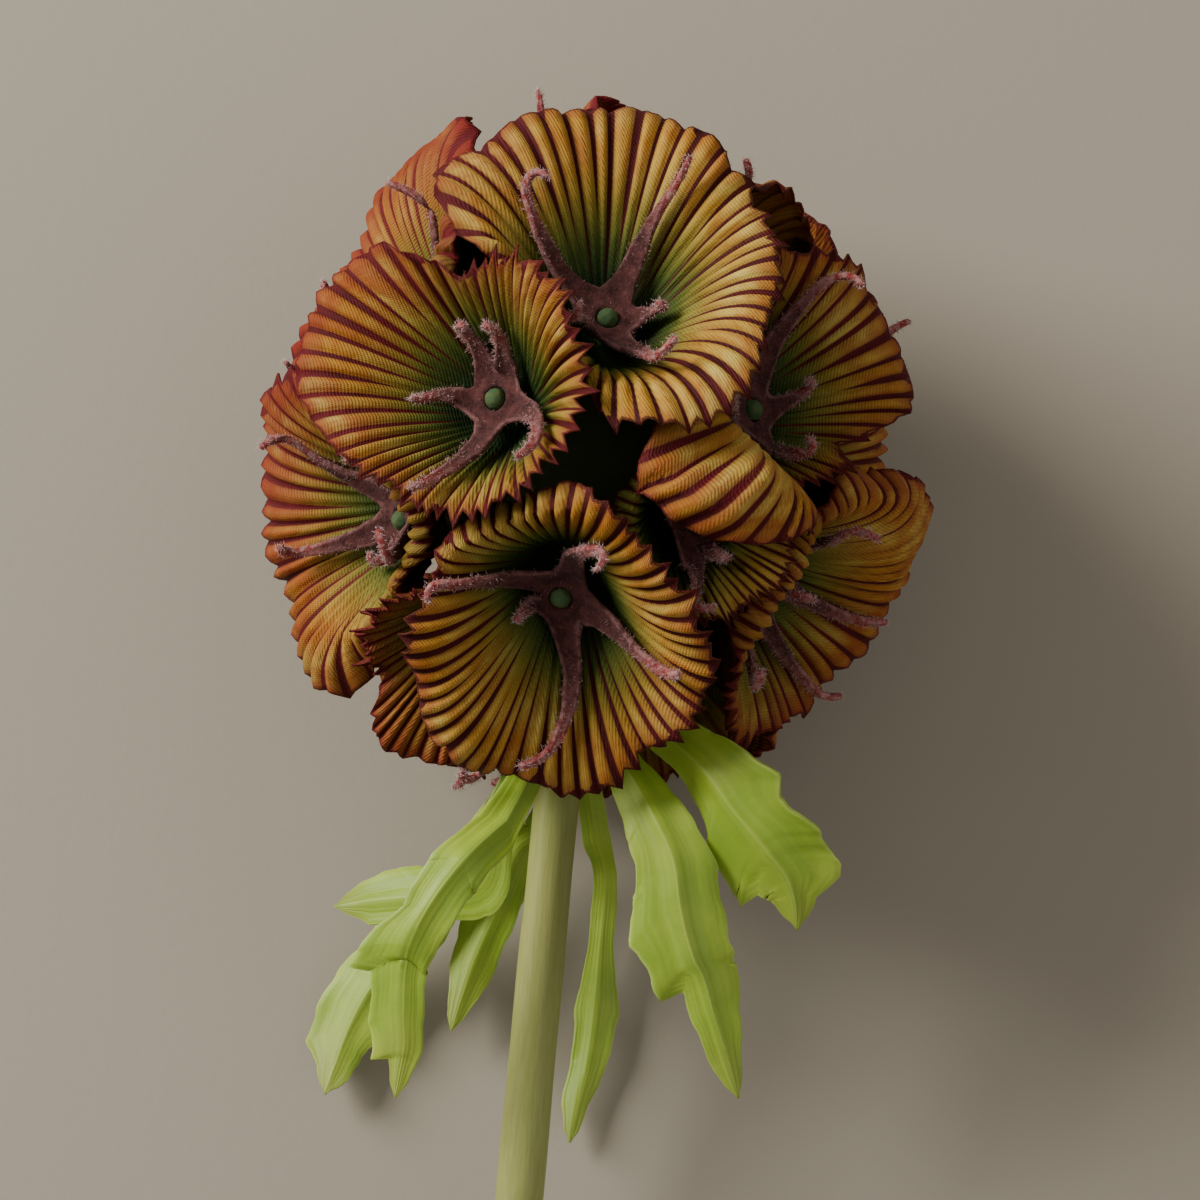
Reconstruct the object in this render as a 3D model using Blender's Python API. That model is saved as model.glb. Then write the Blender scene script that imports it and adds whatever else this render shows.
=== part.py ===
"""Scabiosa seed pod: a round head of pleated cloth bells on a cut stem.

The pod lies down. The side shown in the photo faces up (+Z), the crown points to +Y
and the stem runs to -Y. Every bell is a funnel that opens away from the middle of the
head, with a felt star on the pin in its throat. Bells overlap like shingles: each has
a place in one order, and a bell stops short where a bell before it lies over it.
"""
import math
import random

import bmesh
import bpy
import numpy as np
from mathutils import Vector

for old in list(bpy.data.objects):
    bpy.data.objects.remove(old, do_unlink=True)

# Lengths are in millimetres and angles in degrees; MM turns lengths into metres.
MM = 0.001

# Head
CROWN_STRETCH = 1.10
CORE_RADIUS = 14.8
CORE_SIDES = 20
CORE_RINGS = 12
HEAD_HEIGHT = 23.2
PRESS_ZONE = 0.25
DROP_LEAST = 0.001
TOUCH = 1.001
LIE_TILT = 10.5

# Bells: radius from the middle of the head, from throat to rim
THROAT_RADIUS = 15.5
FLARE_RISE = 13.3
FLARE_CENTRE = 0.97
FLARE_POWER = 3.6
FLARE_REACH = 1.08
FLARE_OPEN = 0.74
CELL_CAP = 25.0
CELL_POWER = 8.0
BELL_THICK = 0.6
BELL_HOLE = 1.35
COVER_GAP = 3.4
COVER_EDGE = 4.5
STEM_CONE = 13.0
RIM_COLUMNS = 40
RING_SHARES = (0.0, 0.22, 0.48, 0.74, 1.0)
RING_STEPS = (4, 4, 2, 1, 1)
TOOTH_ANGLE = 1.3
WAVE_DEPTH = 0.35
WAVE_TURNS = 7.0
UNEVEN_RIM = ((0.03, 3.0), (0.025, 5.0))
PLEAT_DEPTH = (0.0, 0.0, 0.1, 0.28, 0.42)
AZIMUTH_SAMPLES = 80
ANGLE_STEP = 0.5
ANGLE_MOST = 56.0
REACH_LEAST = 11.0
DIP_START = 13.0
DIP_MOST = 5.5
REACH_SPREAD = (-16.0, -8.0, 0.0, 8.0, 16.0)

# Name, longitude, latitude and reach of the rim, either all round or at every eighth
# of a turn from the right, counted upwards. Longitude 0 faces the viewer of the photo
# and latitude 90 is the crown. A bell lies over all the bells after it.
BELLS = (
    ("front_left", -27, 15, (28, 22, 21, 32, 34, 27, 23, 26)),
    ("crown_front", 6, 37, (29, 34, 39, 38, 36, 31, 34, 32)),
    ("front_low", -9, -34, (28, 28, 32, 31, 23, 26, 33, 30)),
    ("front_right", 48, 12, (31, 31, 29, 34, 48, 42, 16, 16)),
    ("left_low", -46, -42, (28, 24, 17, 15, 17, 22, 24, 26)),
    ("middle", 28, -14, (17, 17, 17, 21, 22, 22, 18, 13)),
    ("left", -64, -14, (37, 34, 31, 31, 31, 31, 31, 31)),
    ("right_low", 66, -30, (31, 31, 31, 31, 30, 25, 26, 30)),
    ("left_under", -86, -46, (30, 30, 30, 30, 30, 26, 23, 26)),
    ("right", 86, -2, (31,)),
    ("left_high", -74, 34, (33, 33, 33, 34, 35, 34, 33, 33)),
    ("crown_left", -120, 62, (32,)),
    ("back", 180, -11.5, (31,)),
    ("back_low", -150, -47, (30, 30, 30, 30, 30, 28, 26, 28)),
    ("left_back", -113, -8, (33,)),
    ("right_back", 128, -24, (31,)),
    ("back_high", 180, 33, (31,)),
    ("right_high", 122, 19, (31,)),
    ("back_side", -138, 22, (32,)),
    ("crown_back", 118, 66, (31,)),
    ("under_back", 152, -56, (28, 28, 28, 28, 28, 25, 22, 25)),
)

# Stars
STAR_ARMS = 5
STAR_HOLE = 1.35
STAR_DISC = 2.4
STAR_THICK = 0.7
STAR_LOWEST = 17.2
STAR_CLEAR = 1.5
ARM_CLIMBS = (2.4, 5.2, 7.9, 10.2)
ARM_LIFT = 1.1
ARM_ASIDE = 1.3
ARM_BENDS = (0.0, 0.1, 0.28, 0.5)
ARM_BEND_MOST = 0.9
ARM_REACHES = (1.0, 0.88, 0.76, 0.65, 0.55, 0.46, 0.38, 0.3)
ARM_SHIFTS = (0.0, 0.14, -0.14, 0.28, -0.28)
ARM_START = 6.0
WALL_RISE = 1e-6
ARM_HALF_WIDTHS = (0.85, 0.6, 0.42)
ARM_FAN = 25.0
ARM_COVER = 2.0
ARM_EDGE = 7.0
ARM_PAST_RIM = 0.5
ARM_JITTER = 0.12
STAR_SEED = 100

# Pins
PIN_RADIUS = 0.9
PIN_SIDES = 8
PIN_PROUD = 0.9
PIN_ROOT = 12.5

# Stem
STEM_LEAN = 5.8
STEM_RADIUS_TOP = 1.9
STEM_RADIUS_END = 2.3
STEM_START = 9.5
STEM_SIDES = 14
STEM_STATIONS = 7
STEM_BOW = 1.2
FIT_GAP = 0.3
SOCKET_SHARE = 0.2

# Bracts: each station is across (left or right of the head's axis), down it, towards
# the viewer, then the half width on the left and on the right. A bract turns about its
# own length from the first angle to the second.
BRACT_THICK = 0.6
BRACT_CLEAR = 2.1
SHARE_KEEP = 0.8
COLLAR_FROM = 19.4
COLLAR_TO = 22.6
COLLAR_WALL = 1.0
COLLAR_SIDES = 16
BORE_PAST = 4.0
BRACTS = (
    ("right", (-38.0, -12.0), (
        (0.5, -21.0, 1.6, 0.9, 0.9),
        (4.2, -22.2, 5.6, 1.6, 1.6),
        (8.0, -24.2, 9.2, 2.6, 3.2),
        (10.9, -27.5, 11.4, 3.8, 5.6),
        (11.5, -28.4, 11.6, 4.2, 4.2),
        (14.2, -31.7, 11.6, 5.0, 4.9),
        (15.0, -32.7, 11.4, 5.2, 4.5),
        (15.5, -33.3, 11.2, 3.1, 4.4),
        (16.6, -34.9, 10.7, 2.5, 4.2),
        (17.1, -36.2, 10.3, 2.0, 1.9),
        (17.5, -39.2, 9.4, 0.4, 0.4))),
    ("right_front", (0.0, 8.0), (
        (0.2, -21.6, 2.0, 0.9, 0.9),
        (2.8, -25.4, 6.6, 1.8, 1.6),
        (5.2, -29.4, 9.8, 2.9, 2.7),
        (7.0, -33.4, 10.6, 4.0, 3.3),
        (7.6, -37.4, 10.6, 4.6, 3.6),
        (8.3, -40.4, 10.3, 3.8, 3.4),
        (8.8, -41.9, 10.1, 4.0, 3.0),
        (9.2, -42.6, 9.9, 2.1, 2.8),
        (10.4, -46.4, 9.2, 1.8, 2.1),
        (11.6, -50.4, 8.6, 1.4, 1.1),
        (12.5, -53.6, 8.4, 0.3, 0.3))),
    ("left_front", (0.0, -12.0), (
        (-2.6, -21.6, 1.8, 0.9, 0.9),
        (-6.0, -25.0, 5.8, 1.6, 1.6),
        (-9.2, -28.6, 9.0, 2.0, 2.0),
        (-11.8, -32.6, 9.8, 1.7, 2.2),
        (-13.6, -36.4, 9.6, 3.6, 1.9),
        (-14.1, -38.0, 9.4, 4.0, 1.8),
        (-14.3, -38.8, 9.3, 2.5, 1.8),
        (-14.8, -43.6, 8.8, 2.7, 1.6),
        (-15.0, -47.4, 8.4, 2.4, 1.4),
        (-15.2, -48.3, 8.3, 1.1, 1.3),
        (-15.9, -52.0, 8.2, 0.3, 0.3))),
    ("left", (0.0, -35.0), (
        (-4.2, -21.4, 0.2, 0.9, 0.9),
        (-6.8, -27.0, 0.5, 1.5, 1.5),
        (-8.2, -31.4, 0.4, 2.2, 2.2),
        (-13.0, -33.2, -0.8, 2.6, 2.0),
        (-17.2, -34.4, -2.2, 1.8, 1.9),
        (-20.6, -35.6, -3.4, 0.3, 0.3))),
    ("left_back", (0.0, -20.0), (
        (-3.0, -21.8, -1.4, 0.9, 0.9),
        (-7.0, -26.6, -5.0, 1.6, 1.6),
        (-11.4, -32.4, -8.2, 2.2, 2.2),
        (-15.4, -38.4, -10.0, 2.7, 2.9),
        (-18.4, -43.0, -10.6, 3.1, 3.1),
        (-20.2, -46.8, -10.6, 2.9, 1.9),
        (-21.4, -50.0, -10.2, 1.4, 1.6),
        (-22.4, -52.8, -9.8, 0.4, 0.4))),
    ("back", (0.0, -8.0), (
        (-2.0, -21.8, -2.0, 0.9, 0.9),
        (-3.8, -30.0, -6.4, 1.6, 1.6),
        (-6.0, -32.4, -9.8, 2.0, 2.0),
        (-8.2, -38.2, -11.0, 2.5, 1.9),
        (-10.2, -43.0, -11.0, 1.7, 1.9),
        (-12.1, -48.8, -10.4, 0.4, 0.4))),
    ("back_right", (0.0, 0.0), (
        (-1.0, -21.8, -2.0, 0.9, 0.9),
        (0.5, -30.2, -6.6, 1.1, 1.1),
        (1.2, -33.6, -10.4, 0.9, 0.9),
        (0.8, -40.4, -11.6, 1.0, 1.2),
        (0.4, -45.4, -11.8, 1.6, 2.1),
        (-0.2, -50.6, -11.4, 1.4, 1.6),
        (-1.0, -54.6, -10.8, 1.4, 0.8),
        (-1.8, -58.4, -10.2, 0.4, 0.4))),
)
BRACT_COLUMNS = (-1.0, -0.35, 0.35, 1.0)
BRACT_CUP = 0.25

CLOTH_COLOUR = (0.62, 0.30, 0.08, 1.0)
FELT_COLOUR = (0.26, 0.12, 0.12, 1.0)
BRACT_COLOUR = (0.42, 0.58, 0.12, 1.0)
STEM_COLOUR = (0.34, 0.36, 0.13, 1.0)
CORE_COLOUR = (0.10, 0.20, 0.05, 1.0)


def material(name, colour, roughness):
    """A plain material of one colour for a kind of piece."""
    made = bpy.data.materials.new(name)
    made.use_nodes = True
    shader = made.node_tree.nodes["Principled BSDF"]
    shader.inputs["Base Color"].default_value = colour
    shader.inputs["Roughness"].default_value = roughness
    return made


def aim(longitude, latitude):
    """Unit direction from the middle of the head; -Y looks at the viewer, +Z at the crown."""
    lon = math.radians(longitude)
    lat = math.radians(latitude)
    return np.array((math.cos(lat) * math.sin(lon), -math.cos(lat) * math.cos(lon), math.sin(lat)))


def side_of(longitude):
    """Unit direction to the right of a bell, seen from outside the head."""
    lon = math.radians(longitude)
    return np.array((math.cos(lon), math.sin(lon), 0.0))


AXES = np.array([aim(bell[1], bell[2]) for bell in BELLS])
RIGHTS = np.array([side_of(bell[1]) for bell in BELLS])
UPS = np.cross(AXES, RIGHTS)
STEM_DOWN = aim(-90.0, STEM_LEAN - 90.0)
TILT = math.radians(LIE_TILT)


def tangents(bell, azimuths):
    """Directions away from a bell's axis for azimuths counted from its right side."""
    return np.cos(azimuths)[..., None] * RIGHTS[bell] + np.sin(azimuths)[..., None] * UPS[bell]


def directions(bell, angles, azimuths):
    """Unit directions at an angle from a bell's axis."""
    away = tangents(bell, azimuths)
    return np.cos(angles)[..., None] * AXES[bell] + np.sin(angles)[..., None] * away


def polar(bell, ways):
    """Angle from a bell's axis and azimuth round it of unit directions."""
    angles = np.arccos(np.clip(ways @ AXES[bell], -1.0, 1.0))
    return angles, np.arctan2(ways @ UPS[bell], ways @ RIGHTS[bell])


def cell(bell, azimuths):
    """Angle at which a bell's wall turns outwards: where it meets its neighbours or, if its
    cloth reaches further or less far, in step with that."""
    away = tangents(bell, azimuths)
    reach = wanted_reach(bell, azimuths)
    total = np.maximum(math.radians(CELL_CAP), FLARE_OPEN * reach) ** -CELL_POWER
    for other in range(len(BELLS)):
        if other != bell:
            meet = np.arctan2(1.0 - AXES[bell] @ AXES[other], away @ AXES[other])
            total = total + meet ** -CELL_POWER
    return np.minimum(total ** (-1.0 / CELL_POWER), reach / FLARE_REACH)


def floor_radius(ways):
    """Radius at which a direction reaches the surface the pod lies on."""
    drop = ways[..., 1] * math.cos(TILT) - CROWN_STRETCH * ways[..., 2] * math.sin(TILT)
    return (HEAD_HEIGHT - BELL_THICK / 2.0) / np.maximum(drop, DROP_LEAST)


def free_radius(bell, angles, azimuths):
    """Radius of a bell's cloth from the middle of the head if nothing lay over it."""
    share = angles / cell(bell, azimuths)
    return THROAT_RADIUS + FLARE_RISE * (1.0 - np.exp(-(share / FLARE_CENTRE) ** FLARE_POWER))


def wanted_reach(bell, azimuths):
    """Rim angle a bell would have on its own."""
    reaches = np.array(BELLS[bell][3], float)
    marks = np.arange(len(reaches)) * math.tau / len(reaches)
    spread = np.radians(np.array(REACH_SPREAD))
    near = [np.interp(azimuths + step, marks, reaches, period=math.tau) for step in spread]
    chance = random.Random(BELLS[bell][0])
    reach = np.radians(np.mean(near, axis=0))
    waves = [depth * np.sin(turns * azimuths + chance.uniform(0.0, math.tau)) for depth, turns in UNEVEN_RIM]
    return reach * (1.0 + sum(waves))


def sampled_azimuths():
    """Azimuths at which the bells are worked out."""
    return np.arange(AZIMUTH_SAMPLES) * math.tau / AZIMUTH_SAMPLES


def rim_at(shape, azimuths):
    """Rim angle of a bell between the sampled azimuths."""
    return np.interp(azimuths, sampled_azimuths(), shape[0], period=math.tau)


def radius_at(shape, angles, azimuths):
    """Radius of a bell's cloth between the sampled angles and azimuths."""
    turn = np.mod(azimuths / math.tau, 1.0) * AZIMUTH_SAMPLES
    last = shape[1].shape[1] - 1
    step = np.clip(np.degrees(angles) / ANGLE_STEP, 0.0, last)
    column = turn.astype(int) % AZIMUTH_SAMPLES
    after = (column + 1) % AZIMUTH_SAMPLES
    row = np.minimum(step.astype(int), last - 1)
    across = turn - np.floor(turn)
    along = step - row
    near = shape[1][column, row] * (1.0 - across) + shape[1][after, row] * across
    far = shape[1][column, row + 1] * (1.0 - across) + shape[1][after, row + 1] * across
    return near * (1.0 - along) + far * along


def past_rim(shape, bell, ways):
    """How far directions lie outside a bell's rim, and the bell's radius there."""
    angles, azimuths = polar(bell, ways)
    return angles - rim_at(shape, azimuths), radius_at(shape, angles, azimuths)


def work_out_bells():
    """Rim angles and radii of all bells; each dips under the bells before it."""
    angles = np.radians(np.arange(0.0, ANGLE_MOST, ANGLE_STEP))[None, :]
    azimuths = sampled_azimuths()[:, None]
    angles, azimuths = np.broadcast_arrays(angles, azimuths)
    shapes = []
    for bell in range(len(BELLS)):
        ways = directions(bell, angles, azimuths)
        own = np.minimum(free_radius(bell, angles, azimuths), floor_radius(ways))
        dip = np.zeros(own.shape)
        for over in range(bell):
            past, radius = past_rim(shapes[over], over, ways)
            share = np.clip((math.radians(DIP_START) - past) / math.radians(DIP_START - COVER_EDGE), 0.0, 1.0)
            weight = share * share * (3.0 - 2.0 * share)
            dip = np.maximum(dip, weight * np.maximum(own - radius + COVER_GAP, 0.0))
        allowed = (angles < wanted_reach(bell, azimuths)) & (dip < DIP_MOST)
        allowed &= ways @ STEM_DOWN < math.cos(math.radians(STEM_CONE))
        first = int(REACH_LEAST / ANGLE_STEP)
        allowed[:, :first] = True
        reach = np.radians(np.cumprod(allowed, axis=1).sum(axis=1) * ANGLE_STEP)
        lowest = np.min([np.roll(reach, step) for step in (-2, -1, 0, 1, 2)], axis=0)
        rim = np.mean([np.roll(lowest, step) for step in (-1, 0, 1)], axis=0)
        shapes.append((rim, own - np.minimum(dip, DIP_MOST)))
    return shapes


def place(points):
    """From the upright head to the pod lying down, in metres."""
    x, y, z = np.asarray(points, float).T
    lying_y = y * math.sin(TILT) + z * math.cos(TILT)
    lying_z = -y * math.cos(TILT) + z * math.sin(TILT) + HEAD_HEIGHT
    return np.stack((x, lying_y, lying_z), axis=1) * MM


def head_points(radii, ways):
    """Points of the head, drawn out towards the crown."""
    return radii[..., None] * ways * np.array((1.0, 1.0, CROWN_STRETCH))


def finish(name, bm, slot):
    """Make a mesh into a named object with its material."""
    bmesh.ops.recalc_face_normals(bm, faces=bm.faces)
    mesh = bpy.data.meshes.new(name)
    for face in bm.faces:
        face.smooth = True
    bm.to_mesh(mesh)
    bm.free()
    mesh.materials.append(slot)
    made = bpy.data.objects.new(name, mesh)
    bpy.context.scene.collection.objects.link(made)
    return made


def blade(name, points, faces, thick, slot):
    """A thin sheet from its middle surface; where it meets the surface it lies flat."""
    half = thick * MM / 2.0
    sheet = bmesh.new()
    middle = [sheet.verts.new((x, y, max(z, half))) for x, y, z in points]
    for face in faces:
        sheet.faces.new([middle[index] for index in face])
    sheet.verts.index_update()
    sheet.normal_update()
    bm = bmesh.new()
    skins = []
    for side in (1.0, -1.0):
        skin = []
        for vert in middle:
            spot = vert.co + side * half * vert.normal
            if vert.co.z <= half * TOUCH:
                spot = Vector((vert.co.x, vert.co.y, half + half * side * math.copysign(1.0, vert.normal.z)))
            skin.append(bm.verts.new(spot))
        skins.append(skin)
    over, under = skins
    for face in faces:
        bm.faces.new([over[index] for index in face])
        bm.faces.new([under[index] for index in reversed(face)])
    for edge in sheet.edges:
        if edge.is_boundary:
            loop = edge.link_loops[0]
            start = loop.vert.index
            end = loop.link_loop_next.vert.index
            bm.faces.new((over[end], over[start], under[start]))
            bm.faces.new((over[end], under[start], under[end]))
    sheet.free()
    return finish(name, bm, slot)


def ring_faces(inner, outer):
    """Triangles between two closed rings, the outer with as many points or twice as many."""
    count = len(inner)
    double = len(outer) == 2 * count
    faces = []
    for index in range(count):
        after = (index + 1) % count
        if double:
            middle = outer[2 * index + 1]
            faces.append((inner[index], outer[2 * index], middle))
            faces.append((inner[index], middle, inner[after]))
            faces.append((inner[after], middle, outer[2 * after]))
        else:
            faces.append((inner[index], outer[index], outer[after]))
            faces.append((inner[index], outer[after], inner[after]))
    return faces


def make_bell(bell, shape, slot):
    """One pleated bell with a toothed rim and a hole for its pin."""
    chance = random.Random(bell)
    turn = chance.uniform(0.0, math.tau)
    hole = math.asin(BELL_HOLE / THROAT_RADIUS)
    rings = []
    radii = []
    ways = []
    for share, step, depth in zip(RING_SHARES, RING_STEPS, PLEAT_DEPTH):
        columns = np.arange(0, RIM_COLUMNS, step)
        azimuths = columns * math.tau / RIM_COLUMNS
        pleat = np.where(columns % 2 == 0, 1.0, -1.0)
        rim = rim_at(shape, azimuths) - math.radians(TOOTH_ANGLE) * (pleat < 0.0)
        angles = hole + (rim - hole) * share
        wave = WAVE_DEPTH * share ** 3 * np.sin(WAVE_TURNS * azimuths + turn)
        way = directions(bell, angles, azimuths)
        plain = radius_at(shape, angles, azimuths)
        floor = floor_radius(way)
        radius = np.where(plain > floor - PRESS_ZONE, floor + PRESS_ZONE, plain + depth * pleat + wave)
        start = sum(len(ring) for ring in rings)
        rings.append(list(range(start, start + len(columns))))
        radii.append(radius)
        ways.append(way)
    faces = []
    for inner, outer in zip(rings, rings[1:]):
        faces.extend(ring_faces(inner, outer))
    points = place(head_points(np.concatenate(radii), np.concatenate(ways)))
    return blade("bell_" + BELLS[bell][0], points, faces, BELL_THICK, slot)


def disc_radius(shape):
    """Radius at which a star's disc clears the cloth round it."""
    azimuths = sampled_azimuths()
    angles = np.full(AZIMUTH_SAMPLES, math.asin(STAR_DISC / STAR_LOWEST))
    return max(STAR_LOWEST, radius_at(shape, angles, azimuths).max() + STAR_CLEAR)


def wall_angle(shape, azimuth, radius):
    """Angle at which a bell's wall comes up to a radius, at most its rim angle."""
    angles = np.radians(np.arange(0.0, ANGLE_MOST, ANGLE_STEP))
    wall = np.maximum.accumulate(radius_at(shape, angles, np.full(angles.shape, azimuth)))
    wall = wall + angles * WALL_RISE
    return min(np.interp(radius, wall, angles), rim_at(shape, azimuth) + math.radians(ARM_PAST_RIM))


def arm_line(bell, shapes, azimuth, bend, reach):
    """Angles, azimuths and radii along a star's arm, and whether it is clear of the cloth."""
    shape = shapes[bell]
    radii = disc_radius(shape) + np.array(ARM_CLIMBS) * reach
    azimuths = azimuth + bend * np.array(ARM_BENDS)
    walls = np.array([wall_angle(shape, turn, low) for turn, low in zip(azimuths, radii - ARM_LIFT)])
    angles = walls - ARM_ASIDE / radii
    own = radius_at(shape, angles, azimuths)
    ways = directions(bell, angles, azimuths)
    clear = (angles > math.radians(ARM_START)) & (radii < floor_radius(ways) - ARM_COVER / 2.0)
    for over in range(len(BELLS)):
        if over != bell:
            past, radius = past_rim(shapes[over], over, ways)
            above = (past < math.radians(ARM_EDGE)) & (radius > own)
            clear &= ~above | (radii < radius - ARM_COVER)
    return angles, azimuths, radii, clear.all()


def best_arm(bell, shapes, azimuth, bend):
    """The longest arm near an azimuth that is clear of the cloth."""
    for reach in ARM_REACHES:
        for shift in ARM_SHIFTS:
            line = arm_line(bell, shapes, azimuth + shift, bend, reach)
            if line[3]:
                return line
    return line


def make_star(bell, shapes, slot):
    """Five felt arms round a disc that sits on the pin."""
    chance = random.Random(bell + STAR_SEED)
    first = chance.uniform(0.0, math.tau)
    level = disc_radius(shapes[bell])
    fan = math.radians(ARM_FAN)
    points = []
    corners = []
    for arm in range(STAR_ARMS):
        azimuth = first + math.tau * arm / STAR_ARMS + chance.uniform(-ARM_JITTER, ARM_JITTER)
        bend = chance.uniform(-ARM_BEND_MOST, ARM_BEND_MOST)
        corners.append((azimuth - fan, azimuth + fan, azimuth, bend))
    for size in (STAR_HOLE, STAR_DISC):
        around = np.array([spread for corner in corners for spread in corner[:2]])
        angles = np.full(len(around), math.asin(size / level))
        points.extend(head_points(np.full(len(around), level), directions(bell, angles, around)))
    count = 2 * STAR_ARMS
    faces = ring_faces(list(range(count)), list(range(count, 2 * count)))
    for arm, corner in enumerate(corners):
        angles, azimuths, radii, _ = best_arm(bell, shapes, corner[2], corner[3])
        line = head_points(radii, directions(bell, angles, azimuths))
        pair = (count + 2 * arm, count + 2 * arm + 1)
        for station, half in enumerate(ARM_HALF_WIDTHS):
            along = line[station + 1] - line[station]
            across = np.cross(along, line[station])
            across = across / np.linalg.norm(across) * half
            points.extend((line[station] + across, line[station] - across))
            new = (len(points) - 2, len(points) - 1)
            faces.append((pair[0], new[0], new[1]))
            faces.append((pair[0], new[1], pair[1]))
            pair = new
        points.append(line[-1])
        faces.append((pair[0], len(points) - 1, pair[1]))
    return blade("star_" + BELLS[bell][0], place(points), faces, STAR_THICK, slot)


def tube(bm, centres, ways, radii, sides, first_turn=0.0):
    """A closed round bar through the centres, square to the ways."""
    rings = []
    for centre, way, radius in zip(centres, ways, radii):
        across = Vector((1.0, 0.0, 0.0))
        up = Vector(way).cross(across).normalized()
        across = up.cross(Vector(way)).normalized()
        ring = []
        for side in range(sides):
            turn = first_turn + math.tau * side / sides
            ring.append(bm.verts.new(Vector(centre) + radius * (math.cos(turn) * across + math.sin(turn) * up)))
        rings.append(ring)
    for before, after in zip(rings, rings[1:]):
        for side in range(sides):
            nearby = (side + 1) % sides
            bm.faces.new((before[side], before[nearby], after[nearby], after[side]))
    bm.faces.new(rings[0])
    bm.faces.new(list(reversed(rings[-1])))
    bmesh.ops.recalc_face_normals(bm, faces=bm.faces)


def stem_geometry():
    """Unit direction of the stem, where it starts, and its length down to the surface."""
    top, toe = place(np.array(((0.0, 0.0, 0.0), STEM_DOWN)))
    way = (toe - top) / np.linalg.norm(toe - top)
    slope = math.asin(-way[2])
    length = (HEAD_HEIGHT - STEM_RADIUS_END * math.cos(slope)) / math.sin(slope)
    return top, way, length


def stem_centre(share):
    """Point on the stem's middle line; it bows a little to one side."""
    top, way, length = stem_geometry()
    distance = STEM_START + (length - STEM_START) * share
    sideways = STEM_BOW * share * share
    return top + way * distance * MM + np.array((sideways, 0.0, 0.0)) * MM


def make_stem(slot):
    """The cut stem, resting on its end."""
    _, way, _ = stem_geometry()
    bm = bmesh.new()
    shares = [station / (STEM_STATIONS - 1) for station in range(STEM_STATIONS)]
    centres = [stem_centre(share) for share in shares]
    radii = [(STEM_RADIUS_TOP + (STEM_RADIUS_END - STEM_RADIUS_TOP) * share) * MM for share in shares]
    tube(bm, centres, [way] * STEM_STATIONS, radii, STEM_SIDES, math.pi / 2.0)
    bmesh.ops.triangulate(bm, faces=[face for face in bm.faces if len(face.verts) == 4])
    return finish("stem", bm, slot)


def hidden_tool(name, bm, slot):
    """A shape that another is joined to or cut with."""
    made = finish(name, bm, slot)
    made.hide_render = True
    made.display_type = "WIRE"
    return made


def combine(target, tool, operation):
    """Join a shape to a piece or cut it out of it."""
    step = target.modifiers.new(tool.name, "BOOLEAN")
    step.operation = operation
    step.solver = "EXACT"
    step.object = tool


def make_core(shapes, slot):
    """The round middle of the head with one pin for each bell and a socket for the stem."""
    bm = bmesh.new()
    bmesh.ops.create_uvsphere(bm, u_segments=CORE_SIDES, v_segments=CORE_RINGS, radius=CORE_RADIUS)
    coords = place([(vert.co.x, vert.co.y, vert.co.z * CROWN_STRETCH) for vert in bm.verts])
    for vert, spot in zip(bm.verts, coords):
        vert.co = spot
    core = finish("pod_core", bm, slot)
    pins = bmesh.new()
    for axis, shape in zip(AXES, shapes):
        ends = np.array((PIN_ROOT, disc_radius(shape) + PIN_PROUD))
        spots = place(head_points(ends, np.stack([axis] * 2)))
        way = Vector(spots[1] - spots[0]).normalized()
        tube(pins, spots, [way, way], [PIN_RADIUS * MM] * 2, PIN_SIDES)
    combine(core, hidden_tool("pins", pins, slot), "UNION")
    _, way, _ = stem_geometry()
    socket = bmesh.new()
    top = stem_centre(0.0) - way * FIT_GAP * MM
    ends = [top, stem_centre(SOCKET_SHARE)]
    tube(socket, ends, [way, way], [(STEM_RADIUS_TOP + FIT_GAP) * MM] * 2, STEM_SIDES)
    combine(core, hidden_tool("socket", socket, slot), "DIFFERENCE")
    return core


def clear_share(shapes, points):
    """How much a row of a bract must move outwards to clear the bells beside it."""
    scaled = np.array(points) / np.array((1.0, 1.0, CROWN_STRETCH))
    radii = np.linalg.norm(scaled, axis=1)
    ways = scaled / radii[:, None]
    share = 1.0
    for bell, shape in enumerate(shapes):
        past, cloth = past_rim(shape, bell, ways)
        near = past < math.radians(COVER_EDGE)
        share = max(share, (near * (cloth + BRACT_CLEAR) / radii).max())
    return share


def bract_sheet(shapes, turns, stations):
    """Middle surface of a bract: rows of points across it, and its triangles."""
    spine = np.array([(across, -near, down) for across, down, near, _, _ in stations])
    rows = []
    for index, station in enumerate(stations):
        along = spine[min(index + 1, len(spine) - 1)] - spine[max(index - 1, 0)]
        width = np.cross(along, np.array((0.0, -1.0, 0.0)))
        width = width / -np.linalg.norm(width)
        lift = np.cross(along, width)
        lift = lift / -np.linalg.norm(lift)
        angle = math.radians(turns[0] + (turns[1] - turns[0]) * index / (len(stations) - 1))
        width = width * math.cos(angle) + lift * math.sin(angle)
        row = []
        for column in BRACT_COLUMNS:
            half = station[3] if column < 0.0 else station[4]
            cup = BRACT_CUP * half * (abs(column) - 0.5)
            row.append(spine[index] + width * half * column + lift * cup)
        rows.append(row)
    shares = np.array([1.0] + [clear_share(shapes, row) for row in rows[1:]])
    for _ in rows:
        shares[1:] = np.maximum(shares[1:], 1.0 + (shares[:-1] - 1.0) * SHARE_KEEP)
        shares[1:-1] = np.maximum(shares[1:-1], 1.0 + (shares[2:] - 1.0) * SHARE_KEEP)
    points = [spot * share for row, share in zip(rows, shares) for spot in row]
    faces = []
    columns = len(BRACT_COLUMNS)
    for row in range(len(stations) - 1):
        for column in range(columns - 1):
            start = row * columns + column
            faces.append((start, start + 1, start + columns + 1))
            faces.append((start, start + columns + 1, start + columns))
    return place(points), faces


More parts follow.
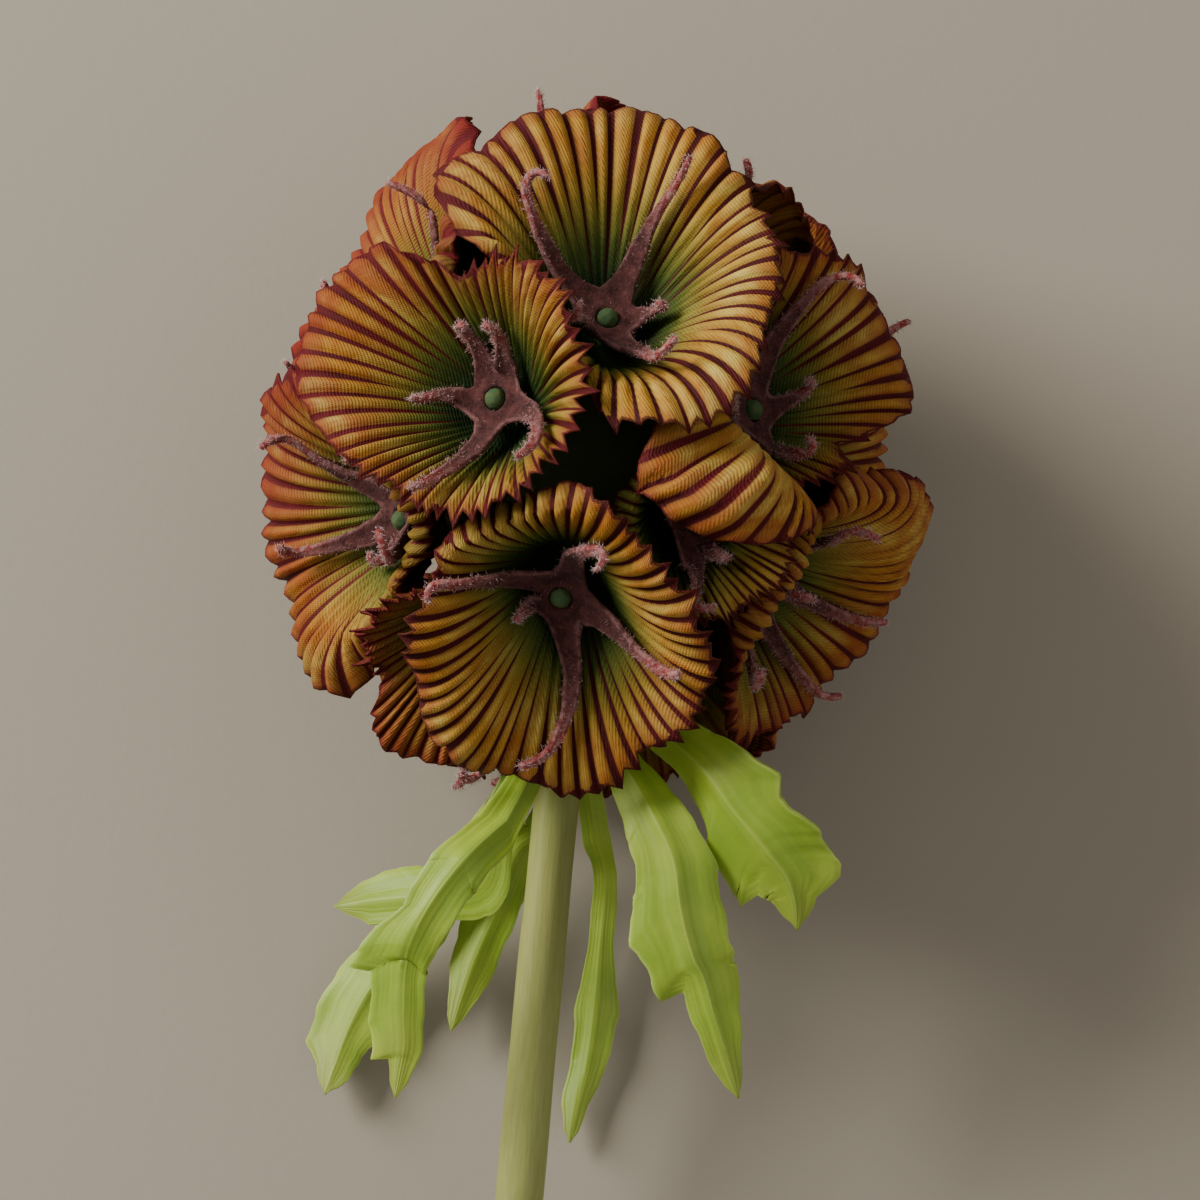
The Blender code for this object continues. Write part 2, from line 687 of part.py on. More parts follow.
def make_whorl(shapes, slot):
    """The lobed bracts that hang round the stem, joined to one collar."""
    top, way, _ = stem_geometry()
    bm = bmesh.new()
    ends = [top + way * distance * MM for distance in (COLLAR_FROM, COLLAR_TO)]
    outer = (STEM_RADIUS_TOP + FIT_GAP + COLLAR_WALL) * MM
    tube(bm, ends, [way, way], [outer, outer], COLLAR_SIDES)
    whorl = finish("bract_whorl", bm, slot)
    for name, turns, stations in BRACTS:
        points, faces = bract_sheet(shapes, turns, stations)
        tool = blade("bract_" + name, points, faces, BRACT_THICK, slot)
        tool.hide_render = True
        tool.display_type = "WIRE"
        combine(whorl, tool, "UNION")
    bore = bmesh.new()
    inner = (STEM_RADIUS_TOP + FIT_GAP) * MM
    ends = [top + way * distance * MM for distance in (COLLAR_FROM - BORE_PAST, COLLAR_TO + BORE_PAST)]
    tube(bore, ends, [way, way], [inner, inner], COLLAR_SIDES)
    combine(whorl, hidden_tool("bore", bore, slot), "DIFFERENCE")
    return whorl


def centre_on_origin(pieces):
    """Move every mesh so that the pod's box stands on the origin."""
    bpy.context.view_layer.update()
    graph = bpy.context.evaluated_depsgraph_get()
    corners = []
    for piece in pieces:
        seen = piece.evaluated_get(graph).to_mesh()
        corners.extend(vert.co.copy() for vert in seen.vertices)
    middle_x = (min(c.x for c in corners) + max(c.x for c in corners)) / 2.0
    middle_y = (min(c.y for c in corners) + max(c.y for c in corners)) / 2.0
    shift = Vector((-middle_x, -middle_y, -min(c.z for c in corners)))
    for thing in bpy.data.objects:
        for vert in thing.data.vertices:
            vert.co += shift


def main():
    cloth = material("bell_cloth", CLOTH_COLOUR, 0.75)
    felt = material("star_felt", FELT_COLOUR, 0.9)
    green = material("bract_cloth", BRACT_COLOUR, 0.6)
    stalk = material("stem_skin", STEM_COLOUR, 0.45)
    middle = material("core_green", CORE_COLOUR, 0.6)
    shapes = work_out_bells()
    pieces = [make_core(shapes, middle), make_stem(stalk), make_whorl(shapes, green)]
    for bell, shape in enumerate(shapes):
        pieces.append(make_bell(bell, shape, cloth))
        pieces.append(make_star(bell, shapes, felt))
    centre_on_origin(pieces)


main()
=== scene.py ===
"""Looks of the scabiosa seed pod: pleated cloth bells, felt stars, green bracts and a stem.

The pod lies on its back with the crown to +Y and the stem to -Y. The shapes are worked
out from the same rules as the solids that they stand for, on finer grids.
"""
import math
import random

import bmesh
import bpy
import numpy as np
from bpy.props import FloatProperty, FloatVectorProperty, IntProperty, PointerProperty
from mathutils import Matrix, Vector


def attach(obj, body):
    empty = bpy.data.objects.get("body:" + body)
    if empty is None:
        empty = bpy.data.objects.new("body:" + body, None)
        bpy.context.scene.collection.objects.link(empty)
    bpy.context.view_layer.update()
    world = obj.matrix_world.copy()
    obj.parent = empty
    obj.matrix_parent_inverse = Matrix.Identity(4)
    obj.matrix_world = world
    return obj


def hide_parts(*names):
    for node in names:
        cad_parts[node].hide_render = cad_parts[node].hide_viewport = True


bl_info = {
    "name": "Scabiosa Seed Pod",
    "version": (1, 0, 0),
    "blender": (4, 5, 0),
    "location": "View3D > Sidebar > Seed Pod",
    "description": "Pleated bells, felt stars, bracts and stem of a textile seed pod",
    "category": "Add Mesh",
}

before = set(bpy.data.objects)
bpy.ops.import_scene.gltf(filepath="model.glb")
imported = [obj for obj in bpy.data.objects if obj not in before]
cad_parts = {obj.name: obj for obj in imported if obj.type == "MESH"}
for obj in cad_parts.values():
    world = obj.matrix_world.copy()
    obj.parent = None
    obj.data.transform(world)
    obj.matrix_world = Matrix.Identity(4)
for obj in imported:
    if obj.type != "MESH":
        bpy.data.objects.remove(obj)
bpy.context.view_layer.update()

# Lengths are in millimetres and angles in degrees, and MM turns lengths into metres. Only
# MERGE, the weave, HEAD_CENTRE, the camera, lights and floor, and the panel are in metres.
MM = 0.001
BODY = "root"
UPWARDS = Vector((0.0, 0.0, 1.0))
MERGE = 1e-7
RIB_WIDTH = 0.00027
THREAD_WIDTH = 0.00016

# Head
HEAD_CENTRE = (-0.0003448, 0.0408885, 0.0)
CROWN_STRETCH = 1.10
CORE_RADIUS = 14.8
HEAD_HEIGHT = 23.2
PRESS_ZONE = 0.25
DROP_LEAST = 0.001
LIE_TILT = 10.5

# Bells
THROAT_RADIUS = 15.5
FLARE_RISE = 13.3
FLARE_CENTRE = 0.97
FLARE_POWER = 3.6
FLARE_REACH = 1.08
FLARE_OPEN = 0.74
CELL_CAP = 25.0
CELL_POWER = 8.0
SOLID_BELL_THICK = 0.6
SOFT_PRESS = 0.4
PRESS_GAP = 0.05
BELL_HOLE = 1.0
COVER_GAP = 3.4
COVER_EDGE = 4.5
STEM_CONE = 13.0
AZIMUTH_SAMPLES = 80
ANGLE_STEP = 0.5
ANGLE_MOST = 56.0
REACH_LEAST = 11.0
DIP_START = 13.0
DIP_MOST = 5.5
REACH_SPREAD = (-16.0, -8.0, 0.0, 8.0, 16.0)
WAVE_DEPTH = 0.35
WAVE_TURNS = 7.0
UNEVEN_RIM = ((0.03, 3.0), (0.025, 5.0))
RUFFLE_DEPTH = 0.2
RUFFLE_TURNS = 13.0
PLEAT_COLUMNS = 4
CREASE_JITTER = 0.17
CREASE_POWER = 1.4
PLEAT_DEPTHS = (0.55, 1.25)
PLEAT_STARTS = (0.15, 0.95)
TERRACE_STEP = 0.34
TERRACE_SWAY = (0.35, 1.7)
TERRACE_EDGE = (0.3, 0.7)
TOOTH_SINK = 0.4
TOOTH_SHARES = (0.1, 1.0)
NICK = 0.07
RIM_ROUND = 0.6
SMOOTHING = ((-0.05, 0.25), (0.0, 0.5), (0.05, 0.25))
BELL_ROWS = 24
RIM_RADIUS = 28.0
ROOM_ANGLE = 27.0
ROOM_LEAST = 0.35
TERRACES = 14
THREAD_RADIUS = 0.02
HAIR_ROOT = 0.42
PLEAT_SEED = 500
WEAVE_SEED = 900
THREAD_SEED = 300
REDDER = 0.3
REDDER_WAY = (-0.8, 0.6, 0.0)
REDDER_FROM = (0.1, 0.85)
THREAD_SHARES = (0.35, 1.0)
THREAD_LEAN = 1.1
THREAD_LIFT = (-0.7, 0.9)

# Name, longitude, latitude, reach of the rim either all round or at every eighth of a
# turn from the right, counted upwards, and how red the cloth is.
BELLS = (
    ("front_left", -27, 15, (28, 22, 21, 32, 34, 27, 23, 26), 0.35),
    ("crown_front", 6, 37, (29, 34, 39, 38, 36, 31, 34, 32), 0.1),
    ("front_low", -9, -34, (28, 28, 32, 31, 23, 26, 33, 30), 0.3),
    ("front_right", 48, 12, (31, 31, 29, 34, 48, 42, 16, 16), 0.5),
    ("left_low", -46, -42, (28, 24, 17, 15, 17, 22, 24, 26), 0.65),
    ("middle", 28, -14, (17, 17, 17, 21, 22, 22, 18, 13), 0.1),
    ("left", -64, -14, (37, 34, 31, 31, 31, 31, 31, 31), 0.5),
    ("right_low", 66, -30, (31, 31, 31, 31, 30, 25, 26, 30), 0.6),
    ("left_under", -86, -46, (30, 30, 30, 30, 30, 26, 23, 26), 0.6),
    ("right", 86, -2, (31,), 0.6),
    ("left_high", -74, 34, (33, 33, 33, 34, 35, 34, 33, 33), 1.0),
    ("crown_left", -120, 62, (32,), 0.95),
    ("back", 180, -11.5, (31,), 0.5),
    ("back_low", -150, -47, (30, 30, 30, 30, 30, 28, 26, 28), 0.4),
    ("left_back", -113, -8, (33,), 0.85),
    ("right_back", 128, -24, (31,), 0.5),
    ("back_high", 180, 33, (31,), 0.6),
    ("right_high", 122, 19, (31,), 0.45),
    ("back_side", -138, 22, (32,), 0.8),
    ("crown_back", 118, 66, (31,), 0.4),
    ("under_back", 152, -56, (28, 28, 28, 28, 28, 25, 22, 25), 0.4),
)

# Stars
STAR_ARMS = 5
STAR_HOLE = 0.95
STAR_DISC = 2.4
STAR_LOWEST = 17.2
STAR_CLEAR = 1.5
ARM_CLIMBS = (2.4, 5.2, 7.9, 10.2)
ARM_LIFT = 1.1
ARM_ASIDE = 1.3
ARM_BENDS = (0.0, 0.1, 0.28, 0.5)
ARM_BEND_MOST = 0.9
ARM_REACHES = (1.0, 0.88, 0.76, 0.65, 0.55, 0.46, 0.38, 0.3)
ARM_SHIFTS = (0.0, 0.14, -0.14, 0.28, -0.28)
ARM_START = 6.0
WALL_RISE = 1e-6
ARM_COVER = 2.0
ARM_EDGE = 7.0
ARM_PAST_RIM = 0.5
ARM_JITTER = 0.12
STAR_SEED = 100
ARM_ROWS = 15
ARM_COLUMNS = 4
ARM_WIDTH_MARKS = (0.0, 0.16, 0.34, 0.55, 0.8, 0.94, 1.0)
ARM_HALF_WIDTHS = (1.8, 1.3, 0.8, 0.52, 0.4, 0.34, 0.15)
DISC_ROWS = 3
DISC_PULL = 0.14
CURL_STARTS = (0.62, 0.78)
CURL_POWER = 1.1
ARM_UNEVEN = (0.86, 1.14)
ARM_TWIST = 0.9
ARM_CUP = 0.3
CURL_CENTRE = 9.0
FUZZ_SEED = 700
HAIR_RADIUS = 0.028
HAIR_LEAN = 0.8
HAIR_SHARES = (0.3, 1.0)
FUZZ_WEIGHTS = (0.2, 1.4)
NOTCH_FROM = 0.86
HAIR_SPREAD = 0.1

# Pins
PIN_RADIUS = 0.9
PIN_PROUD = 0.9
PIN_ROOT = 12.5
SHANK_SHARE = 0.9
CORE_SHRINK = 0.985
CORE_SEED = 5
CORE_DETAIL = 5
SHANK_KNOT = 0.6

# Stem
STEM_LEAN = 5.8
STEM_RADIUS_TOP = 1.9
STEM_RADIUS_END = 2.3
STEM_START = 9.5
STEM_BOW = 1.2
STEM_SIDES = 40
STEM_ROWS = 90
STEM_WAVES = ((0.02, 3.0, 5.0, 0.0), (0.012, 7.0, -4.0, 0.0), (0.02, 0.0, 41.0, 1.0))
STEM_ROUGH = 0.6
STEM_CUTS = ((0.0, 0.12), (-0.08, 0.2), (0.04, 0.9))
FIT_GAP = 0.3

# Bracts: each station is across (left or right of the head's axis), down it, towards
# the viewer, then the half width on the left and on the right.
BRACT_CLEAR = 2.1
SHARE_KEEP = 0.8
COLLAR_FROM = 19.4
COLLAR_TO = 22.6
COLLAR_WALL = 1.0
COLLAR_CLEAR = 0.12
COLLAR_SIDES = 48
BRACT_SEED = 40
BRACT_CHECKS = (-1.0, -0.35, 0.35, 1.0)
RIB = (0.3, 0.5)
FOLD = (0.06, 2.6)
RIPPLE = (0.25, 0.7)
EDGE_WAVES = ((1.5, 3.4), (1.6, 3.6))
EDGE_DEPTHS = (0.03, 0.012)
DROOP_POWER = 1.6
COLLAR_ROUND = 0.92
BRACT_CUP = 0.25
LOBE_DROOP = 0.55
LOBE_FADE = 6.0
LOBE_SPACING = 0.03
LOBE_BLEND = 2.5
BRACT_POINT = 1.3
BRACT_ROW = 0.5
BRACT_COLUMNS = 14
BRACTS = (
    ((-38.0, -12.0), (
        (0.5, -21.0, 1.6, 0.9, 0.9), (4.2, -22.2, 5.6, 1.6, 1.6),
        (8.0, -24.2, 9.2, 2.6, 3.2), (10.9, -27.5, 11.4, 3.8, 5.6),
        (11.5, -28.4, 11.6, 4.2, 4.2), (14.2, -31.7, 11.6, 5.0, 4.9),
        (15.0, -32.7, 11.4, 5.2, 4.5), (15.5, -33.3, 11.2, 3.1, 4.4),
        (16.6, -34.9, 10.7, 2.5, 4.2), (17.1, -36.2, 10.3, 2.0, 1.9),
        (17.5, -39.2, 9.4, 0.4, 0.4))),
    ((0.0, 8.0), (
        (0.2, -21.6, 2.0, 0.9, 0.9), (2.8, -25.4, 6.6, 1.8, 1.6),
        (5.2, -29.4, 9.8, 2.9, 2.7), (7.0, -33.4, 10.6, 4.0, 3.3),
        (7.6, -37.4, 10.6, 4.6, 3.6), (8.3, -40.4, 10.3, 3.8, 3.4),
        (8.8, -41.9, 10.1, 4.0, 3.0), (9.2, -42.6, 9.9, 2.1, 2.8),
        (10.4, -46.4, 9.2, 1.8, 2.1), (11.6, -50.4, 8.6, 1.4, 1.1),
        (12.5, -53.6, 8.4, 0.3, 0.3))),
    ((0.0, -12.0), (
        (-2.6, -21.6, 1.8, 0.9, 0.9), (-6.0, -25.0, 5.8, 1.6, 1.6),
        (-9.2, -28.6, 9.0, 2.0, 2.0), (-11.8, -32.6, 9.8, 1.7, 2.2),
        (-13.6, -36.4, 9.6, 3.6, 1.9), (-14.1, -38.0, 9.4, 4.0, 1.8),
        (-14.3, -38.8, 9.3, 2.5, 1.8), (-14.8, -43.6, 8.8, 2.7, 1.6),
        (-15.0, -47.4, 8.4, 2.4, 1.4), (-15.2, -48.3, 8.3, 1.1, 1.3),
        (-15.9, -52.0, 8.2, 0.3, 0.3))),
    ((0.0, -35.0), (
        (-4.2, -21.4, 0.2, 0.9, 0.9), (-6.8, -27.0, 0.5, 1.5, 1.5),
        (-8.2, -31.4, 0.4, 2.2, 2.2), (-13.0, -33.2, -0.8, 2.6, 2.0),
        (-17.2, -34.4, -2.2, 1.8, 1.9), (-20.6, -35.6, -3.4, 0.3, 0.3))),
    ((0.0, -20.0), (
        (-3.0, -21.8, -1.4, 0.9, 0.9), (-7.0, -26.6, -5.0, 1.6, 1.6),
        (-11.4, -32.4, -8.2, 2.2, 2.2), (-15.4, -38.4, -10.0, 2.7, 2.9),
        (-18.4, -43.0, -10.6, 3.1, 3.1), (-20.2, -46.8, -10.6, 2.9, 1.9),
        (-21.4, -50.0, -10.2, 1.4, 1.6), (-22.4, -52.8, -9.8, 0.4, 0.4))),
    ((0.0, -8.0), (
        (-2.0, -21.8, -2.0, 0.9, 0.9), (-3.8, -30.0, -6.4, 1.6, 1.6),
        (-6.0, -32.4, -9.8, 2.0, 2.0), (-8.2, -38.2, -11.0, 2.5, 1.9),
        (-10.2, -43.0, -11.0, 1.7, 1.9), (-12.1, -48.8, -10.4, 0.4, 0.4))),
    ((0.0, 0.0), (
        (-1.0, -21.8, -2.0, 0.9, 0.9), (0.5, -30.2, -6.6, 1.1, 1.1),
        (1.2, -33.6, -10.4, 0.9, 0.9), (0.8, -40.4, -11.6, 1.0, 1.2),
        (0.4, -45.4, -11.8, 1.6, 2.1), (-0.2, -50.6, -11.4, 1.4, 1.6),
        (-1.0, -54.6, -10.8, 1.4, 0.8), (-1.8, -58.4, -10.2, 0.4, 0.4))),
)

# Camera: the photo's view looks down at this elevation, from this far.
VIEW_ELEVATION = 79.5
VIEW_DISTANCE = 0.4
VIEW_WIDTH = 0.1034
VIEW_ACROSS = 0.00086
VIEW_DOWN = -0.0116
SENSOR = 36.0

# Lights: the side of each, where it stands from the middle of the head, and its tint.
KEY_LIGHT = (0.35, (-0.52, 0.28, 0.36), (1.0, 0.97, 0.92))
FILL_LIGHT = (0.9, (0.7, -0.1, 0.7), (1.0, 0.97, 0.93))
AIR_TINT = (0.86, 0.83, 0.78, 1.0)
FLOOR_GAP = 0.0001


# Shapes of the head


def aim(longitude, latitude):
    """Unit direction from the middle of the head; -Y looks at the viewer, +Z at the crown."""
    lon = math.radians(longitude)
    lat = math.radians(latitude)
    return np.array((math.cos(lat) * math.sin(lon), -math.cos(lat) * math.cos(lon), math.sin(lat)))


def side_of(longitude):
    """Unit direction to the right of a bell, seen from outside the head."""
    lon = math.radians(longitude)
    return np.array((math.cos(lon), math.sin(lon), 0.0))


AXES = np.array([aim(bell[1], bell[2]) for bell in BELLS])
RIGHTS = np.array([side_of(bell[1]) for bell in BELLS])
UPS = np.cross(AXES, RIGHTS)
STEM_DOWN = aim(-90.0, STEM_LEAN - 90.0)
TILT = math.radians(LIE_TILT)


def tangents(bell, azimuths):
    """Directions away from a bell's axis for azimuths counted from its right side."""
    return np.cos(azimuths)[..., None] * RIGHTS[bell] + np.sin(azimuths)[..., None] * UPS[bell]


def directions(bell, angles, azimuths):
    """Unit directions at an angle from a bell's axis."""
    away = tangents(bell, azimuths)
    return np.cos(angles)[..., None] * AXES[bell] + np.sin(angles)[..., None] * away


def polar(bell, ways):
    """Angle from a bell's axis and azimuth round it of unit directions."""
    angles = np.arccos(np.clip(ways @ AXES[bell], -1.0, 1.0))
    return angles, np.arctan2(ways @ UPS[bell], ways @ RIGHTS[bell])


def cell(bell, azimuths):
    """Angle at which a bell's wall turns outwards: where it meets its neighbours or, if its
    cloth reaches further or less far, in step with that."""
    away = tangents(bell, azimuths)
    reach = wanted_reach(bell, azimuths)
    total = np.maximum(math.radians(CELL_CAP), FLARE_OPEN * reach) ** -CELL_POWER
    for other in range(len(BELLS)):
        if other != bell:
            meet = np.arctan2(1.0 - AXES[bell] @ AXES[other], away @ AXES[other])
            total = total + meet ** -CELL_POWER
    return np.minimum(total ** (-1.0 / CELL_POWER), reach / FLARE_REACH)


def floor_radius(ways, thick=SOLID_BELL_THICK):
    """Radius at which a direction reaches the surface the pod lies on."""
    drop = ways[..., 1] * math.cos(TILT) - CROWN_STRETCH * ways[..., 2] * math.sin(TILT)
    return (HEAD_HEIGHT - thick / 2.0) / np.maximum(drop, DROP_LEAST)


def free_radius(bell, angles, azimuths):
    """Radius of a bell's cloth from the middle of the head if nothing lay over it."""
    share = angles / cell(bell, azimuths)
    return THROAT_RADIUS + FLARE_RISE * (1.0 - np.exp(-(share / FLARE_CENTRE) ** FLARE_POWER))


def wanted_reach(bell, azimuths):
    """Rim angle a bell would have on its own."""
    reaches = np.array(BELLS[bell][3], float)
    marks = np.arange(len(reaches)) * math.tau / len(reaches)
    spread = np.radians(np.array(REACH_SPREAD))
    near = [np.interp(azimuths + step, marks, reaches, period=math.tau) for step in spread]
    chance = random.Random(BELLS[bell][0])
    waves = [
        depth * np.sin(turns * azimuths + chance.uniform(0.0, math.tau))
        for depth, turns in UNEVEN_RIM]
    return np.radians(np.mean(near, axis=0)) * (1.0 + sum(waves))


def sampled_azimuths():
    """Azimuths at which the bells are worked out."""
    return np.arange(AZIMUTH_SAMPLES) * math.tau / AZIMUTH_SAMPLES


def rim_at(shape, azimuths):
    """Rim angle of a bell between the sampled azimuths."""
    return np.interp(azimuths, sampled_azimuths(), shape[0], period=math.tau)


def radius_at(shape, angles, azimuths):
    """Radius of a bell's cloth between the sampled angles and azimuths."""
    turn = np.mod(azimuths / math.tau, 1.0) * AZIMUTH_SAMPLES
    last = shape[1].shape[1] - 1
    step = np.clip(np.degrees(angles) / ANGLE_STEP, 0.0, last)
    column = turn.astype(int) % AZIMUTH_SAMPLES
    after = (column + 1) % AZIMUTH_SAMPLES
    row = np.minimum(step.astype(int), last - 1)
    across = turn - np.floor(turn)
    along = step - row
    near = shape[1][column, row] * (1.0 - across) + shape[1][after, row] * across
    far = shape[1][column, row + 1] * (1.0 - across) + shape[1][after, row + 1] * across
    return near * (1.0 - along) + far * along


def past_rim(shape, bell, ways):
    """How far directions lie outside a bell's rim, and the bell's radius there."""
    angles, azimuths = polar(bell, ways)
    return angles - rim_at(shape, azimuths), radius_at(shape, angles, azimuths)


def work_out_bells():
    """Rim angles and radii of all bells; each dips under the bells before it."""
    angles = np.radians(np.arange(0.0, ANGLE_MOST, ANGLE_STEP))[None, :]
    azimuths = sampled_azimuths()[:, None]
    angles, azimuths = np.broadcast_arrays(angles, azimuths)
    shapes = []
    for bell in range(len(BELLS)):
        ways = directions(bell, angles, azimuths)
        own = np.minimum(free_radius(bell, angles, azimuths), floor_radius(ways))
        dip = np.zeros(own.shape)
        for over in range(bell):
            past, radius = past_rim(shapes[over], over, ways)
            weight = smooth_share(-DIP_START, -COVER_EDGE, -np.degrees(past))
            dip = np.maximum(dip, weight * np.maximum(own - radius + COVER_GAP, 0.0))
        allowed = (angles < wanted_reach(bell, azimuths)) & (dip < DIP_MOST)
        allowed &= ways @ STEM_DOWN < math.cos(math.radians(STEM_CONE))
        first = int(REACH_LEAST / ANGLE_STEP)
        allowed[:, :first] = True
        reach = np.radians(np.cumprod(allowed, axis=1).sum(axis=1) * ANGLE_STEP)
        lowest = np.min([np.roll(reach, step) for step in (-2, -1, 0, 1, 2)], axis=0)
        rim = np.mean([np.roll(lowest, step) for step in (-1, 0, 1)], axis=0)
        shapes.append((rim, own - np.minimum(dip, DIP_MOST)))
    return shapes


def place(points):
    """From the upright head to the pod lying down, in metres."""
    points = np.asarray(points, float)
    x, y, z = points[..., 0], points[..., 1], points[..., 2]
    lying_y = y * math.sin(TILT) + z * math.cos(TILT)
    lying_z = -y * math.cos(TILT) + z * math.sin(TILT) + HEAD_HEIGHT
    return np.stack((x, lying_y, lying_z), axis=-1) * MM + np.array(HEAD_CENTRE)


def head_points(radii, ways):
    """Points of the head, drawn out towards the crown."""
    return radii[..., None] * ways * np.array((1.0, 1.0, CROWN_STRETCH))


def smooth_share(low, high, values):
    """0 below low, 1 above high and a soft rise between."""
    share = np.clip((values - low) / (high - low), 0.0, 1.0)
    return share * share * (3.0 - 2.0 * share)


def unit(vectors):
    """Vectors made one long."""
    return vectors / np.maximum(np.linalg.norm(vectors, axis=-1, keepdims=True), 1e-12)


SHAPES = work_out_bells()


# Mesh tools


def grid_patch(bm, columns, rows):
    """A new grid in the mesh; gives each of its vertices with its column and row."""
    made = bmesh.ops.create_grid(bm, x_segments=columns, y_segments=rows, size=1.0)
    found = []
    for vert in made["verts"]:
        column = round((vert.co.x + 1.0) / 2.0 * columns)
        row = round((vert.co.y + 1.0) / 2.0 * rows)
        found.append((vert, column, row))
    return found


def bend_patch(bm, patch, points, uv_maps, values):
    """Put a grid's vertices on points[column, row] and write its UV maps and values."""
    place_of = {vert: (column, row) for vert, column, row in patch}
    layers = {name: bm.verts.layers.float[name] for name in values}
    for vert, column, row in patch:
        vert.co = points[column, row]
        for name, layer in layers.items():
            vert[layer] = values[name][column, row]
    faces = {face for vert, _, _ in patch for face in vert.link_faces}
    for name, spots in uv_maps.items():
        layer = bm.loops.layers.uv[name]
        for face in faces:
            for loop in face.loops:
                loop[layer].uv = spots[place_of[loop.vert]]


def new_mesh(uv_maps=(), values=()):
    """An empty mesh with its UV maps and named values."""
    bm = bmesh.new()
    for name in uv_maps:
        bm.loops.layers.uv.new(name)
    for name in values:
        bm.verts.layers.float.new(name)
    return bm


def piece_from(name, bm, slot_material):
    """A named, smooth piece from a mesh."""
    for face in bm.faces:
        face.smooth = True
    mesh = bpy.data.meshes.new(name)
    bm.to_mesh(mesh)
    bm.free()
    mesh.materials.append(slot_material)
    made = bpy.data.objects.new(name, mesh)
    bpy.context.scene.collection.objects.link(made)
    return made


def through_modifiers(bm, steps):
    """The mesh after modifiers, each a type and its settings."""
    made = piece_from("workpiece", bm, None)
    for kind, settings in steps:
        step = made.modifiers.new(kind, kind)
        for key, value in settings.items():
            setattr(step, key, value)
    graph = bpy.context.evaluated_depsgraph_get()
    mesh = bpy.data.meshes.new_from_object(made.evaluated_get(graph), depsgraph=graph)
    after = bmesh.new()
    after.from_mesh(mesh)
    before = made.data
    bpy.data.objects.remove(made)
    bpy.data.meshes.remove(before)
    bpy.data.meshes.remove(mesh)
    return after


def hand_over(made, slot_name, *nodes):
    """Attach a piece to the body and hide the nodes that it stands for; its finish is not used."""
    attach(made, BODY)
    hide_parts(*nodes)


def join(bm, other):
    """Move another mesh into this one."""
    mesh = bpy.data.meshes.new("joined")
    other.to_mesh(mesh)
    other.free()
    bm.from_mesh(mesh)
    bpy.data.meshes.remove(mesh)


def turn_to(way):
    """Matrix that turns upright things along a direction."""
    return UPWARDS.rotation_difference(Vector(way)).to_matrix()


def jitter(chance, size):
    """A random shift of up to a size each way."""
    return Vector([chance.uniform(-size, size) for _ in range(3)])


def add_hairs(bm, hairs, thick, names):
    """Pointed hairs of four faces: each a root, a direction, a length and its named values."""
    tuft = new_mesh((), (*names, "which"))
    which = tuft.verts.layers.float["which"]
    made = bmesh.ops.create_cone(
        tuft, cap_ends=True, cap_tris=True, segments=3, radius1=thick, radius2=0.0, depth=1.0)
    for vert in made["verts"]:
        vert.co.z += HAIR_ROOT
    count = 1
    while count < len(hairs):
        again = bmesh.ops.duplicate(tuft, geom=tuft.verts[:] + tuft.edges[:] + tuft.faces[:])["geom"]
        for vert in again:
            if isinstance(vert, bmesh.types.BMVert):
                vert[which] += count
        count *= 2
    spare = [vert for vert in tuft.verts if vert[which] > len(hairs) - 0.5]
    bmesh.ops.delete(tuft, geom=spare, context="VERTS")
    turns = [turn_to(hair[1]) for hair in hairs]
    layers = [tuft.verts.layers.float[name] for name in names]
    for vert in tuft.verts:
        hair = round(vert[which])
        root, _, length, values = hairs[hair]
        vert.co.z *= length
        vert.co = Vector(root) + turns[hair] @ vert.co
        for layer, value in zip(layers, values):
            vert[layer] = value
    tuft.verts.layers.float.remove(which)
    join(bm, tuft)


# Materials


def operation(name, turned=False):
    """A method that puts its values through a Math node, the wire last if turned."""
    def method(self, *others):
        return self.maths(name, *((*others, self) if turned else (self, *others)))
    return method


class Wire:
    """An output socket that can be added, multiplied and so on with others and numbers."""

    def __init__(self, board, socket):
        self.board = board
        self.socket = socket

    def maths(self, name, *values):
        """The result of a Math node."""
        return self.board.node("ShaderNodeMath", {"operation": name}, dict(enumerate(values))).out()

    __add__, __radd__ = operation("ADD"), operation("ADD", True)
    __sub__, __rsub__ = operation("SUBTRACT"), operation("SUBTRACT", True)
    __mul__, __rmul__ = operation("MULTIPLY"), operation("MULTIPLY", True)
    __abs__ = operation("ABSOLUTE")
    rounded = operation("ROUND")
    sine = operation("SINE")
    cosine = operation("COSINE")
    larger = operation("MAXIMUM")

    def rise(self, low, high):
        """0 below low, 1 above high, soft between; low may be above high."""
        made = self.board.node(
            "ShaderNodeMapRange", {"interpolation_type": "SMOOTHSTEP"},
            {"Value": self, "From Min": low, "From Max": high})
        return made.out("Result")


class Part:
    """A node with its outputs by name."""

    def __init__(self, board, node):
        self.board = board
        self.node = node

    def out(self, name=0):
        return Wire(self.board, self.node.outputs[name])


